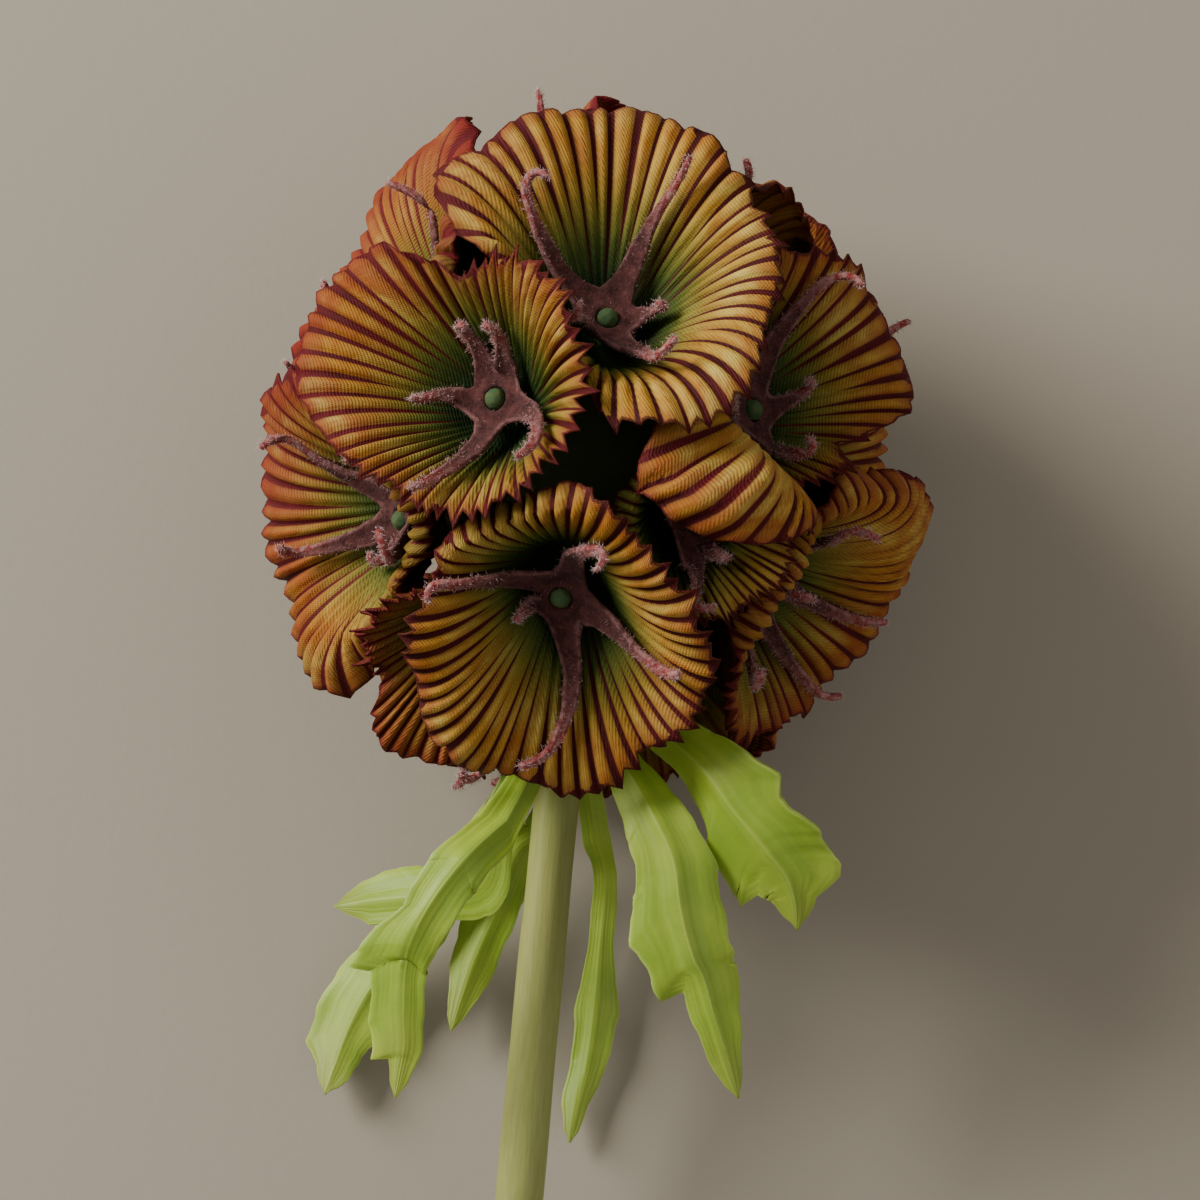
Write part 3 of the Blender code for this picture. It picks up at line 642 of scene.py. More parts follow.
class Board:
    """A material's nodes."""

    def __init__(self, name):
        self.material = bpy.data.materials.new(name)
        self.material.use_nodes = True
        self.tree = self.material.node_tree
        self.shader = self.tree.nodes["Principled BSDF"]

    def node(self, kind, settings=None, values=None):
        """A node with its settings, then the values or links of its sockets."""
        made = self.tree.nodes.new(kind)
        for key, value in (settings or {}).items():
            setattr(made, key, value)
        for key, value in (values or {}).items():
            self.feed(made.inputs[key], value)
        return Part(self, made)

    def feed(self, socket, value):
        """Link a wire to a socket, or set its value."""
        if isinstance(value, Wire):
            self.tree.links.new(value.socket, socket)
        elif socket.type == "RGBA" and len(value) == 3:
            socket.default_value = (*value, 1.0)
        else:
            socket.default_value = value

    def attributes(self, *names):
        """Named values of the mesh."""
        return [self.node("ShaderNodeAttribute", {"attribute_name": name}).out("Fac") for name in names]

    def uv(self, name):
        """The two parts of a UV map."""
        spot = self.node("ShaderNodeUVMap", {"uv_map": name}).out("UV")
        parts = self.node("ShaderNodeSeparateXYZ", None, {0: spot})
        return parts.out("X"), parts.out("Y")

    def spot(self, x, y, z=0.0):
        """A vector from three values."""
        return self.node("ShaderNodeCombineXYZ", None, {"X": x, "Y": y, "Z": z}).out()

    def place(self):
        """Object coordinates in metres."""
        return self.node("ShaderNodeTexCoord").out("Object")

    def noise(self, vector, scale, detail=3.0, roughness=0.55):
        """Cloudy noise from 0 to 1."""
        made = self.node(
            "ShaderNodeTexNoise", None,
            {"Vector": vector, "Scale": scale, "Detail": detail, "Roughness": roughness})
        return made.out("Fac")

    def chance(self, value):
        """A steady random number for a whole number."""
        made = self.node("ShaderNodeTexWhiteNoise", {"noise_dimensions": "1D"}, {"W": value})
        return made.out("Value")

    def mix(self, share, first, second):
        """One colour over another; the node's colour sockets go by number."""
        sockets = {0: share, 6: first, 7: second}
        return self.node("ShaderNodeMix", {"data_type": "RGBA"}, sockets).out(2)

    def over(self, base, *layers):
        """A base with layers over it, each a share and a colour."""
        for share, colour in layers:
            base = self.mix(share, base, colour)
        return base

    def tone(self, colour, value):
        """A colour made lighter or darker by a value."""
        sockets = {0: colour, "Scale": value}
        return self.node("ShaderNodeVectorMath", {"operation": "SCALE"}, sockets).out()

    def relief(self, *layers):
        """Relief from layers, each a height, its depth in metres and its strength."""
        normal = {}
        for height, distance, strength in layers:
            values = {"Height": height, "Distance": distance, "Strength": strength, **normal}
            normal = {"Normal": self.node("ShaderNodeBump", None, values).out("Normal")}
        return normal["Normal"]

    def finish(self, **sockets):
        """Feed the shader's sockets; underscores stand for spaces."""
        for key, value in sockets.items():
            self.feed(self.shader.inputs[key.replace("_", " ")], value)
        return self.material


def bell_cloth(settings):
    """Pleated woven cloth: green in the bottom of each bell, darkened there with painted shade, gold to
    rust cloth, maroon stripes and rim.

    A pleat's number draws where its stripe starts and how wide it is.
    """
    board = Board("pleated_cloth")
    around, share = board.uv("Pleats")
    cloth_x, cloth_y = board.uv("Weave")
    lift, edge, back, blush, number = board.attributes("lift", "edge", "back", "blush", "number")
    pleat = around * settings.pleats
    which = pleat.rounded()
    off = abs(pleat - which)
    luck = board.chance(which + number * 57.0)
    luck_two = board.chance(which * 3.0 + number * 91.0 + 11.0)
    streaks = board.noise(board.spot(around * 130.0, share * 3.0, number * 5.0), 1.0)
    clouds = board.noise(board.spot(around * 9.0, share * 3.0, number * 7.0), 1.0)
    patches = board.noise(board.spot(around * 26.0, share * 7.0, number * 3.0), 1.0)
    crumbs = board.noise(board.spot(cloth_x, cloth_y, number), 2600.0, 2.0)

    gold = board.mix(clouds.rise(0.35, 0.75), settings.gold, settings.pale)
    orange = (streaks * 0.5 + patches * 0.5 + blush * 0.16).rise(0.42, 0.68)
    rust = board.over(gold, (orange * 0.7, settings.rust), (back * 0.5, settings.outside))
    flush = blush * share.rise(0.35, 1.0) * (0.3 + patches * 0.9)
    fringe = (edge + (streaks - 0.5) * 0.002).rise(0.0026, 0.0) * (0.35 + blush * 0.5)
    warm = board.mix(flush.larger(fringe).rise(0.0, 0.95), rust, settings.red)
    depth = lift + (streaks - 0.5) * 0.1 + (clouds - 0.5) * 0.2
    # Painted shade: the green bottom of each bell turns darkest where it lies deepest.
    throat_and_painted_shade = board.mix(depth.rise(0.06, 0.5), settings.throat_and_painted_shade, settings.leaf)
    cloth = board.mix(depth.rise(0.84, 0.28), warm, throat_and_painted_shade)

    start = 0.22 + luck * 0.34
    taper = share.rise(start, start + 0.3)
    ragged = (streaks - 0.5) * 0.06 + (crumbs - 0.5) * 0.04
    width = (0.095 + luck_two * 0.11 + ragged) * taper
    tip = (edge + (patches - 0.5) * 0.002).rise(0.0008, 0.0) * luck.rise(0.55, 0.8) * 0.3
    stripe = (off - width - tip).rise(0.04, -0.03) * taper.rise(0.0, 0.3)
    halo = (off - width).rise(0.16, -0.02) * taper * 0.35
    rim = (edge + (crumbs - 0.5) * 0.0003).rise(0.00032, 0.00008)
    dyed = (stripe.larger(halo) * (1.0 - back * 0.3)).larger(rim * 0.85)
    wine = board.mix((clouds + blush * 0.4).rise(0.4, 1.0), settings.maroon, settings.wine)
    coloured = board.mix(dyed, cloth, wine)

    ribs = (cloth_x * (math.tau / RIB_WIDTH) + (crumbs - 0.5) * 1.2).sine() * 0.5 + 0.5
    threads = (cloth_y * (math.tau / THREAD_WIDTH)).sine() * 0.5 + 0.5
    weave = ribs * 0.75 + threads * 0.25
    toned = board.tone(coloured, 0.8 + weave * 0.26 + (crumbs - 0.5) * 0.14)
    relief = board.relief((weave, 0.00006, 0.9), (streaks, 0.00026, 0.6), (patches, 0.0006, 0.45))
    return board.finish(
        Base_Color=toned, Roughness=0.6 + crumbs * 0.2, Normal=relief, Specular_IOR_Level=0.22)


def star_felt(settings):
    """Fuzzy felt, plum in the middle and pale pink on edges, tips and hairs; the pale pink on the edges
    and tips of the arms is partly their fuzz and partly a painted highlight.
    """
    board = Board("plum_felt")
    spot = board.place()
    tip, fuzz, edge = board.attributes("tip", "fuzz", "edge")
    clumps = board.noise(spot, 900.0, 4.0, 0.65)
    fibres = board.noise(spot, 4200.0, 3.0, 0.7)
    tufts = board.noise(spot, 1700.0, 3.0, 0.6)
    plum = board.mix(clumps.rise(0.3, 0.7), settings.shade, settings.felt)
    # Partly painted highlight: the edges and tips of the arms turn pale pink, for their fuzz and as a
    # highlight.
    pale = (tip.rise(0.3, 1.0) * 0.7 + edge.rise(0.6, 1.0) * 0.3) * tufts.rise(0.3, 0.62)
    haired = board.over(
        plum,
        (pale, settings.fuzz),
        (fibres.rise(0.5, 0.75) * (0.12 + tip * 0.3), settings.fuzz),
        (tufts.rise(0.6, 0.42) * tip.rise(0.4, 0.9) * 0.55, settings.red),
        (fuzz, board.mix(tip, settings.fuzz, settings.hair)))
    relief = board.relief((fibres, 0.0001, 0.9), (clumps, 0.0003, 0.6))
    return board.finish(
        Base_Color=haired, Roughness=0.88 + clumps * 0.1, Normal=relief,
        Sheen_Weight=0.12, Sheen_Roughness=0.45, Sheen_Tint=(0.86, 0.56, 0.56), Specular_IOR_Level=0.2)


def bract_cloth(settings):
    """Lime green cloth with a pale midrib, soft veins, a light edge and olive painted shade in its
    folds.
    """
    board = Board("lime_cloth")
    across, along = board.uv("Leaf")
    tip, = board.attributes("tip")
    spot = board.place()
    clouds = board.noise(spot, 160.0, 4.0)
    grain = board.noise(spot, 3400.0, 3.0)
    middle = abs(across - 0.5)
    folds_and_painted_shade = board.noise(board.spot(across * 5.0, along * 0.5), 1.0, 2.0)
    veins = board.noise(board.spot(across * 15.0, along * 0.25, 4.0), 1.0, 0.0)
    fresh = board.mix(clouds.rise(0.3, 0.75), settings.lime, settings.yellow)
    green = board.over(
        fresh,
        # Painted shade: olive darkens the cloth along the folds of the relief.
        (folds_and_painted_shade.rise(0.4, 0.75) * 0.45, settings.olive),
        ((tip + clouds * 0.3 - 0.15).rise(0.72, 1.05) * 0.6, settings.brown),
        (veins.rise(0.5, 0.8) * 0.14, settings.vein),
        (middle.rise(0.03, 0.0) * 0.4, settings.vein),
        (middle.rise(0.46, 0.5) * 0.5, settings.vein))
    toned = board.tone(green, 0.95 + grain * 0.1)
    relief = board.relief((grain, 0.00003, 0.5), (veins, 0.00012, 0.35), (folds_and_painted_shade, 0.0004, 0.4))
    return board.finish(Base_Color=toned, Roughness=0.45 + grain * 0.15, Normal=relief)


def stem_skin(settings):
    """Satin olive skin with long streaks, and a paler cut end."""
    board = Board("olive_skin")
    around, along = board.uv("Skin")
    cut, = board.attributes("cut")
    spot = board.place()
    turn = around * math.tau
    ring = board.spot(turn.sine() * 3.0, turn.cosine() * 3.0, along * 1.4)
    streaks = board.noise(ring, 2.4, 4.0, 0.6)
    specks = board.noise(spot, 1500.0, 3.0)
    clouds = board.noise(spot, 60.0, 2.0)
    skin = board.mix(streaks.rise(0.2, 0.85) * 0.5, settings.skin, settings.light)
    ended = board.over(
        skin,
        (clouds.rise(0.4, 0.75) * 0.35, settings.brown),
        (specks.rise(0.66, 0.78) * 0.25, settings.brown),
        (cut, board.mix(specks, settings.pith, settings.light)))
    relief = board.relief((streaks, 0.00008, 0.4), (specks, 0.00004, 0.4))
    return board.finish(Base_Color=ended, Roughness=0.36 + streaks * 0.16, Normal=relief)


def core_green(settings):
    """Dark green foam under the bells, with brighter green knots on the pins."""
    board = Board("core_foam")
    spot = board.place()
    knot, = board.attributes("knot")
    cells = board.node("ShaderNodeTexVoronoi", {"feature": "F1"}, {"Vector": spot, "Scale": 1500.0})
    cells = cells.out("Distance")
    clouds = board.noise(spot, 350.0, 3.0)
    foam = board.mix(clouds, settings.foam, settings.moss)
    green = board.mix(cells, settings.knot, settings.moss)
    relief = board.relief((cells, 0.00015, 0.7))
    coloured = board.mix(knot, foam, green)
    return board.finish(Base_Color=coloured, Roughness=0.72 + clouds * 0.2, Normal=relief)


def paper_floor(settings):
    """Plain pale paper with a faint tooth."""
    board = Board("floor_paper")
    spot = board.place()
    clouds = board.noise(spot, 3.0, 3.0)
    tooth = board.noise(spot, 900.0, 4.0, 0.6)
    dim = tuple(value * 0.94 for value in settings.floor)
    paper = board.mix(clouds.rise(0.3, 0.7), settings.floor, dim)
    relief = board.relief((tooth, 0.0001, 0.25))
    return board.finish(Base_Color=paper, Roughness=0.82 + tooth * 0.1, Normal=relief)


# Bells


def pleat_marks(chance, pleats):
    """Places of the creases, unevenly spaced, with one more for the full turn."""
    marks = np.array([
        crease + chance.uniform(-CREASE_JITTER, CREASE_JITTER) for crease in range(pleats)])
    return np.append(marks, marks[0] + pleats)


def bell_surface(bell, shape, settings):
    """Middle surface of a bell on a fine grid, with its normals and what colours it."""
    turn = random.Random(bell).uniform(0.0, math.tau)
    chance = random.Random(bell + PLEAT_SEED)
    pleats = settings.pleats
    columns = pleats * PLEAT_COLUMNS
    position = np.arange(columns) / PLEAT_COLUMNS
    nearest = np.round(position).astype(int) % pleats
    away = np.abs(position - np.round(position)) * 2.0
    creases = np.arange(pleats + 1)
    azimuths = np.interp(position, creases, pleat_marks(chance, pleats)) * math.tau / pleats
    tall = np.array([chance.uniform(*TOOTH_SHARES) ** 1.5 for _ in range(pleats)])[nearest]
    deep = np.array([chance.uniform(*PLEAT_DEPTHS) for _ in range(pleats + 1)])
    deep = np.interp(position, creases, np.append(deep[:-1], deep[0]))
    nick = np.array([chance.uniform(-1.0, 1.0) for _ in range(columns)])
    terrace = np.array([chance.uniform(-1.0, 1.0) for _ in range(TERRACES)])
    sway, sways = TERRACE_SWAY
    around = position * TERRACES / pleats + sway * np.sin(position * sways)
    low = np.floor(around).astype(int)
    swing = smooth_share(*TERRACE_EDGE, around - low)
    terrace = terrace[low % TERRACES] * (1.0 - swing) + terrace[(low + 1) % TERRACES] * swing
    crest = (1.0 - away) ** CREASE_POWER
    tooth = settings.tooth / MM * (tall * crest - TOOTH_SINK + TERRACE_STEP * terrace) + NICK * nick
    room = np.clip(rim_at(shape, azimuths) / math.radians(ROOM_ANGLE), ROOM_LEAST, 1.0)
    rim = rim_at(shape, azimuths) + room * tooth / RIM_RADIUS
    hole = math.asin(BELL_HOLE / THROAT_RADIUS)
    share = np.linspace(0.0, 1.0, BELL_ROWS + 1)[None, :]
    angles = hole + (rim[:, None] - hole) * share
    turns = np.broadcast_to(azimuths[:, None], angles.shape)
    ways = directions(bell, angles, turns)
    plain = np.zeros(angles.shape)
    for aside, weight in SMOOTHING:
        plain += weight * radius_at(shape, angles, turns + aside)
    thick = settings.thickness / MM
    pressed = smooth_share(-SOFT_PRESS, SOFT_PRESS, plain - floor_radius(ways) + PRESS_ZONE)
    wave = WAVE_DEPTH * share ** 3 * np.sin(WAVE_TURNS * turns + turn)
    radii = plain + (1.0 - pressed) * wave
    radii = radii + pressed * (floor_radius(ways, thick) + PRESS_GAP - radii)
    points = place(head_points(radii, ways))
    around = np.roll(points, -1, axis=0) - np.roll(points, 1, axis=0)
    normals = unit(np.cross(around, np.gradient(points, axis=1)))
    outwards = points - place(np.zeros(3))
    normals = normals * np.sign((normals * outwards).sum(axis=-1, keepdims=True))
    fold = ((1.0 - 2.0 * crest) * deep)[:, None] * smooth_share(*PLEAT_STARTS, share)
    ruffle = RUFFLE_DEPTH * share ** 4 * np.sin(RUFFLE_TURNS * turns + 2.0 * turn)
    raised = settings.pleat_depth * fold * room[:, None] + ruffle * MM
    points = points + normals * (raised * (1.0 - pressed))[..., None]
    points[..., 2] = np.maximum(points[..., 2], settings.thickness / 2.0)
    return points, normals, azimuths, radii


def make_bell(bell, shape, settings, cloth):
    """One bell of cloth: its inner side, the cut rim and its outer side in one closed sheet."""
    points, normals, azimuths, radii = bell_surface(bell, shape, settings)
    half = settings.thickness / 2.0
    columns = len(points)
    rows = BELL_ROWS
    steps = np.linalg.norm(np.diff(points, axis=1), axis=-1)
    along = np.concatenate((np.zeros((columns, 1)), np.cumsum(steps, axis=1)), axis=1)
    edge = along[:, -1:] - along
    lift = (radii - THROAT_RADIUS) / FLARE_RISE
    share = np.broadcast_to(np.linspace(0.0, 1.0, rows + 1)[None, :], along.shape)
    beyond = points[:, -1:] + unit(points[:, -1:] - points[:, -2:-1]) * half * RIM_ROUND
    inner = points + normals * half
    outer = points - normals * half
    order = list(range(rows + 1)) + [rows] + list(range(rows, -1, -1)) + [0]
    sheet = np.concatenate((inner, beyond, outer[:, ::-1], inner[:, :1]), axis=1)
    sheet = np.concatenate((sheet, sheet[:1]), axis=0)
    sheet[..., 2] = np.maximum(sheet[..., 2], 0.0)
    wrap = list(range(columns)) + [0]
    around = np.arange(columns + 1) / columns
    spin = random.Random(bell + WEAVE_SEED).uniform(0.0, math.tau)
    turns = np.append(azimuths, azimuths[0] + math.tau) + spin
    run = along[wrap][:, order]
    weave = np.stack((run * np.cos(turns)[:, None], run * np.sin(turns)[:, None]), axis=-1)
    pleats = np.stack((np.broadcast_to(around[:, None], run.shape), share[wrap][:, order]), axis=-1)
    side = np.concatenate((np.zeros(rows + 1), (0.5,), np.ones(rows + 1), (1.0,)))
    leftward = unit(points - place(np.zeros(3))) @ np.array(REDDER_WAY)
    blush = BELLS[bell][4] + REDDER * smooth_share(*REDDER_FROM, leftward)
    values = {
        "lift": lift[wrap][:, order],
        "edge": edge[wrap][:, order],
        "back": np.broadcast_to(side[None, :], run.shape),
        "blush": np.minimum(blush, 1.0)[wrap][:, order],
        "number": np.full(run.shape, float(bell)),
    }
    uv_maps = {"Pleats": pleats, "Weave": weave}
    bm = new_mesh(uv_maps, values)
    patch = grid_patch(bm, columns, len(order) - 1)
    bend_patch(bm, patch, sheet, uv_maps, values)
    bmesh.ops.remove_doubles(bm, verts=bm.verts, dist=MERGE)
    bmesh.ops.recalc_face_normals(bm, faces=bm.faces)
    fray(bm, bell, points, normals, settings)
    return piece_from("cloth_" + BELLS[bell][0], bm, cloth)


def fray(bm, bell, points, normals, settings):
    """Loose thread ends along the cut rim."""
    chance = random.Random(bell + THREAD_SEED)
    columns = len(points)
    hairs = []
    for _ in range(settings.fray):
        column = chance.randrange(columns)
        beside = (column + 1) % columns
        share = chance.random()
        root = points[column, -1] * (1.0 - share) + points[beside, -1] * share
        out = unit(points[column, -1] - points[column, -3])
        along = unit(points[beside, -1] - points[column, -1])
        way = out + along * chance.uniform(-THREAD_LEAN, THREAD_LEAN)
        way = unit(way + normals[column, -1] * chance.uniform(*THREAD_LIFT))
        reach = settings.fray_length * chance.uniform(*THREAD_SHARES)
        if root[2] > MM:
            hairs.append((root, way, reach, (0.0, 1.0, float(bell), 0.3)))
    add_hairs(bm, hairs, THREAD_RADIUS * MM, ("edge", "lift", "number", "blush"))


# Stars


def disc_radius(shape):
    """Radius at which a star's disc clears the cloth round it."""
    angles = np.full(AZIMUTH_SAMPLES, math.asin(STAR_DISC / STAR_LOWEST))
    return max(STAR_LOWEST, radius_at(shape, angles, sampled_azimuths()).max() + STAR_CLEAR)


def wall_angle(shape, azimuth, radius):
    """Angle at which a bell's wall comes up to a radius, at most its rim angle."""
    angles = np.radians(np.arange(0.0, ANGLE_MOST, ANGLE_STEP))
    wall = np.maximum.accumulate(radius_at(shape, angles, np.full(angles.shape, azimuth)))
    wall = wall + angles * WALL_RISE
    return min(np.interp(radius, wall, angles), rim_at(shape, azimuth) + math.radians(ARM_PAST_RIM))


def arm_spots(shape, azimuth, bend, reach, climbs, bends):
    """Angles, azimuths and radii along a star's arm as it climbs the wall of its bell."""
    radii = disc_radius(shape) + np.array(climbs) * reach
    azimuths = azimuth + bend * np.array(bends)
    walls = np.array([wall_angle(shape, turn, low) for turn, low in zip(azimuths, radii - ARM_LIFT)])
    return walls - ARM_ASIDE / radii, azimuths, radii


def arm_is_clear(bell, shapes, spots):
    """Whether an arm keeps clear of its neighbours' cloth and of the surface below."""
    angles, azimuths, radii = spots
    own = radius_at(shapes[bell], angles, azimuths)
    ways = directions(bell, angles, azimuths)
    clear = (angles > math.radians(ARM_START)) & (radii < floor_radius(ways) - ARM_COVER / 2.0)
    for over in range(len(BELLS)):
        if over != bell:
            past, radius = past_rim(shapes[over], over, ways)
            above = (past < math.radians(ARM_EDGE)) & (radius > own)
            clear &= ~above | (radii < radius - ARM_COVER)
    return clear.all()


def best_arm(bell, shapes, azimuth, bend):
    """Azimuth and reach of the longest arm near an azimuth that is clear of the cloth."""
    for reach in ARM_REACHES:
        for shift in ARM_SHIFTS:
            spots = arm_spots(shapes[bell], azimuth + shift, bend, reach, ARM_CLIMBS, ARM_BENDS)
            if arm_is_clear(bell, shapes, spots):
                return azimuth + shift, reach
    return azimuth + ARM_SHIFTS[-1], ARM_REACHES[-1]


def curled(line, middle, chance, curls):
    """The arm's line with its last part rolled up or bent over, by least to most."""
    count = len(line)
    start = int(count * chance.uniform(*CURL_STARTS))
    steps = np.linalg.norm(np.diff(line, axis=0), axis=1)
    way = unit(line[start] - line[start - 1])
    inward = middle - line[start]
    sideways = np.cross(way, inward) * chance.choice((-1.0, 1.0))
    lean = chance.uniform(0.0, 1.0)
    bend = unit(unit(inward) * (1.0 - 0.6 * lean) + unit(sideways) * lean)
    bend = unit(bend - way * (bend @ way))
    total = chance.uniform(*curls)
    made = line.copy()
    for index in range(start, count):
        angle = total * ((index - start + 0.5) / (count - start)) ** CURL_POWER
        ahead = way * math.cos(angle) + bend * math.sin(angle)
        made[index] = made[index - 1] + ahead * steps[index - 1]
    return made


def star_arm_points(bell, shapes, arm, level, base, chance, settings):
    """Grid of an arm's middle surface from the disc's edge to its tip."""
    azimuth, reach, bend = arm
    marks = np.linspace(0.0, 1.0, ARM_ROWS)
    solid = np.linspace(0.0, 1.0, len(ARM_CLIMBS))
    climbs = np.interp(marks, solid, ARM_CLIMBS)
    bends = np.interp(marks, solid, ARM_BENDS)
    angles, azimuths, radii = arm_spots(shapes[bell], azimuth, bend, reach, climbs, bends)
    for _ in range(3):
        angles[1:-1] = (angles[:-2] + 2.0 * angles[1:-1] + angles[2:]) / 4.0
    line = head_points(radii, directions(bell, angles, azimuths))
    top = AXES[bell] * (level + CURL_CENTRE) * np.array((1.0, 1.0, CROWN_STRETCH))
    line = curled(line, top, chance, (settings.curl_least, settings.curl_most))
    line = np.concatenate((base.mean(axis=0)[None, :], line))
    lengths = np.concatenate(((0.0,), np.cumsum(np.linalg.norm(np.diff(line, axis=0), axis=1))))
    marks = lengths / lengths[-1]
    halves = np.interp(marks, ARM_WIDTH_MARKS, ARM_HALF_WIDTHS)
    halves = halves * np.array([chance.uniform(*ARM_UNEVEN) for _ in halves])
    ahead = unit(np.gradient(line, axis=0))
    across = unit(np.cross(ahead, line))
    twist = chance.uniform(-ARM_TWIST, ARM_TWIST) * marks ** 2
    lifted = np.cross(ahead, across)
    across = across * np.cos(twist)[:, None] + lifted * np.sin(twist)[:, None]
    if (across[0] @ (base[-1] - base[0])) < 0.0:
        across = -across
    sides = np.linspace(-1.0, 1.0, ARM_COLUMNS + 1)
    grid = line[None] + sides[:, None, None] * (across * halves[:, None])[None]
    raised = np.cross(ahead, across) * (halves * np.sin(np.pi * marks))[:, None]
    grid = grid + ARM_CUP * (sides ** 2 - 0.5)[:, None, None] * raised[None]
    grid[:, 0] = base
    return grid, marks


def make_star(bell, shapes, settings, felt):
    """Five curled felt arms round a disc on the pin, with fuzz."""
    shape = shapes[bell]
    chance = random.Random(bell + STAR_SEED)
    more = random.Random(bell + FUZZ_SEED)
    level = disc_radius(shape)
    first = chance.uniform(0.0, math.tau)
    arms = []
    for arm in range(STAR_ARMS):
        azimuth = first + math.tau * arm / STAR_ARMS + chance.uniform(-ARM_JITTER, ARM_JITTER)
        bend = chance.uniform(-ARM_BEND_MOST, ARM_BEND_MOST)
        arms.append((azimuth, *best_arm(bell, shapes, azimuth, bend), bend))
    middles = np.array([arm[0] for arm in arms])
    notches = (middles + np.append(middles[1:], middles[0] + math.tau)) / 2.0
    starts = np.append(notches[-1] - math.tau, notches[:-1])
    turns = np.concatenate([
        np.linspace(start, end, ARM_COLUMNS + 1)[:-1] for start, end in zip(starts, notches)])
    turns = np.append(turns, turns[0] + math.tau)
    values = ("tip", "edge", "fuzz")
    bm = new_mesh((), values)
    sizes = np.linspace(STAR_HOLE, STAR_DISC, DISC_ROWS + 1)
    near = np.cos(turns[:, None] - notches[None, :]).max(axis=1)
    notched = smooth_share(NOTCH_FROM, 1.0, near)
    outer = np.linspace(0.0, 1.0, DISC_ROWS + 1)
    spread = np.arcsin(sizes * (1.0 - DISC_PULL * notched[:, None] * outer) / level)
    ways = directions(bell, spread, np.broadcast_to(turns[:, None], spread.shape))
    ring = head_points(np.full(spread.shape, level), ways)
    patch = grid_patch(bm, len(turns) - 1, DISC_ROWS)
    bend_patch(bm, patch, place(ring), {}, dict.fromkeys(values, np.zeros(spread.shape)))
    for index, (_, azimuth, reach, bend) in enumerate(arms):
        base = ring[index * ARM_COLUMNS:(index + 1) * ARM_COLUMNS + 1, -1]
        arm = (azimuth, reach, bend)
        grid, marks = star_arm_points(bell, shapes, arm, level, base, more, settings)
        sides = np.abs(np.linspace(-1.0, 1.0, ARM_COLUMNS + 1))
        sides, tips = np.broadcast_arrays(sides[:, None], marks[None, :])
        patch = grid_patch(bm, ARM_COLUMNS, len(marks) - 1)
        colours = {"tip": tips, "edge": sides, "fuzz": np.zeros(sides.shape)}
        bend_patch(bm, patch, place(grid), {}, colours)
    bmesh.ops.remove_doubles(bm, verts=bm.verts, dist=1e-6)
    bmesh.ops.recalc_face_normals(bm, faces=bm.faces)
    bm = through_modifiers(bm, (
        ("SOLIDIFY", {"thickness": settings.thickness, "offset": 0.0}),
        ("SUBSURF", {"levels": 1, "render_levels": 1})))
    add_fuzz(bm, more, settings)
    return piece_from("felt_" + BELLS[bell][0], bm, felt)


def add_fuzz(bm, chance, settings):
    """Short soft hairs all over the felt, more of them on edges and tips."""
    tip = bm.verts.layers.float["tip"]
    edge = bm.verts.layers.float["edge"]
    bm.normal_update()
    roots = [(vert.co.copy(), vert.normal.copy(), vert[tip], vert[edge]) for vert in bm.verts]
    plain, more = FUZZ_WEIGHTS
    weights = [plain + more * root[3] ** 2 + more * root[2] ** 2 for root in roots]
    hairs = []
    for root, normal, share, side in chance.choices(roots, weights, k=settings.hairs):
        way = (normal + jitter(chance, HAIR_LEAN)).normalized()
        reach = settings.hair_length * chance.uniform(*HAIR_SHARES)
        hairs.append((root + jitter(chance, HAIR_SPREAD * MM), way, reach, (share, side, 1.0)))
    add_hairs(bm, hairs, HAIR_RADIUS * MM, ("tip", "edge", "fuzz"))


# The others


def make_core(settings, foam):
    """The round middle with a pin and a green knot for each bell."""
    bm = new_mesh((), ("knot",))
    made = bmesh.ops.create_icosphere(bm, subdivisions=CORE_DETAIL, radius=CORE_RADIUS)
    spots = np.array([vert.co for vert in made["verts"]]) * np.array((1.0, 1.0, CROWN_STRETCH))
    chance = random.Random(CORE_SEED)
    for vert, spot in zip(made["verts"], place(spots * CORE_SHRINK)):
        vert.co = Vector(spot) + jitter(chance, settings.grain)
    knot = bm.verts.layers.float["knot"]
    for bell, shape in enumerate(SHAPES):
        ends = np.array((PIN_ROOT, disc_radius(shape) + PIN_PROUD))
        root, top = (Vector(spot) for spot in place(head_points(ends, np.stack([AXES[bell]] * 2))))
        way = (top - root).normalized()
        turn = turn_to(way).to_4x4()
        radius = PIN_RADIUS * MM
        tall = (top - root).length - radius
        shank = bmesh.ops.create_cone(
            bm, cap_ends=True, segments=16, radius1=radius * SHANK_SHARE, radius2=radius * SHANK_SHARE,
            depth=tall, matrix=Matrix.Translation(root + way * tall / 2.0) @ turn)
        head = bmesh.ops.create_uvsphere(
            bm, u_segments=20, v_segments=14, radius=radius,
            matrix=Matrix.Translation(top - way * radius) @ turn)
        for vert in shank["verts"]:
            vert[knot] = SHANK_KNOT
        for vert in head["verts"]:
            vert[knot] = 1.0
            vert.co += jitter(chance, settings.grain / 2.0)
    return piece_from("green_core", bm, foam)


def stem_geometry():
    """Unit direction of the stem, where it starts, and its length down to the surface."""
    top, toe = place(np.array(((0.0, 0.0, 0.0), STEM_DOWN)))
    way = (toe - top) / np.linalg.norm(toe - top)
    slope = math.asin(-way[2])
    length = (HEAD_HEIGHT - STEM_RADIUS_END * math.cos(slope)) / math.sin(slope)
    return top, way, length


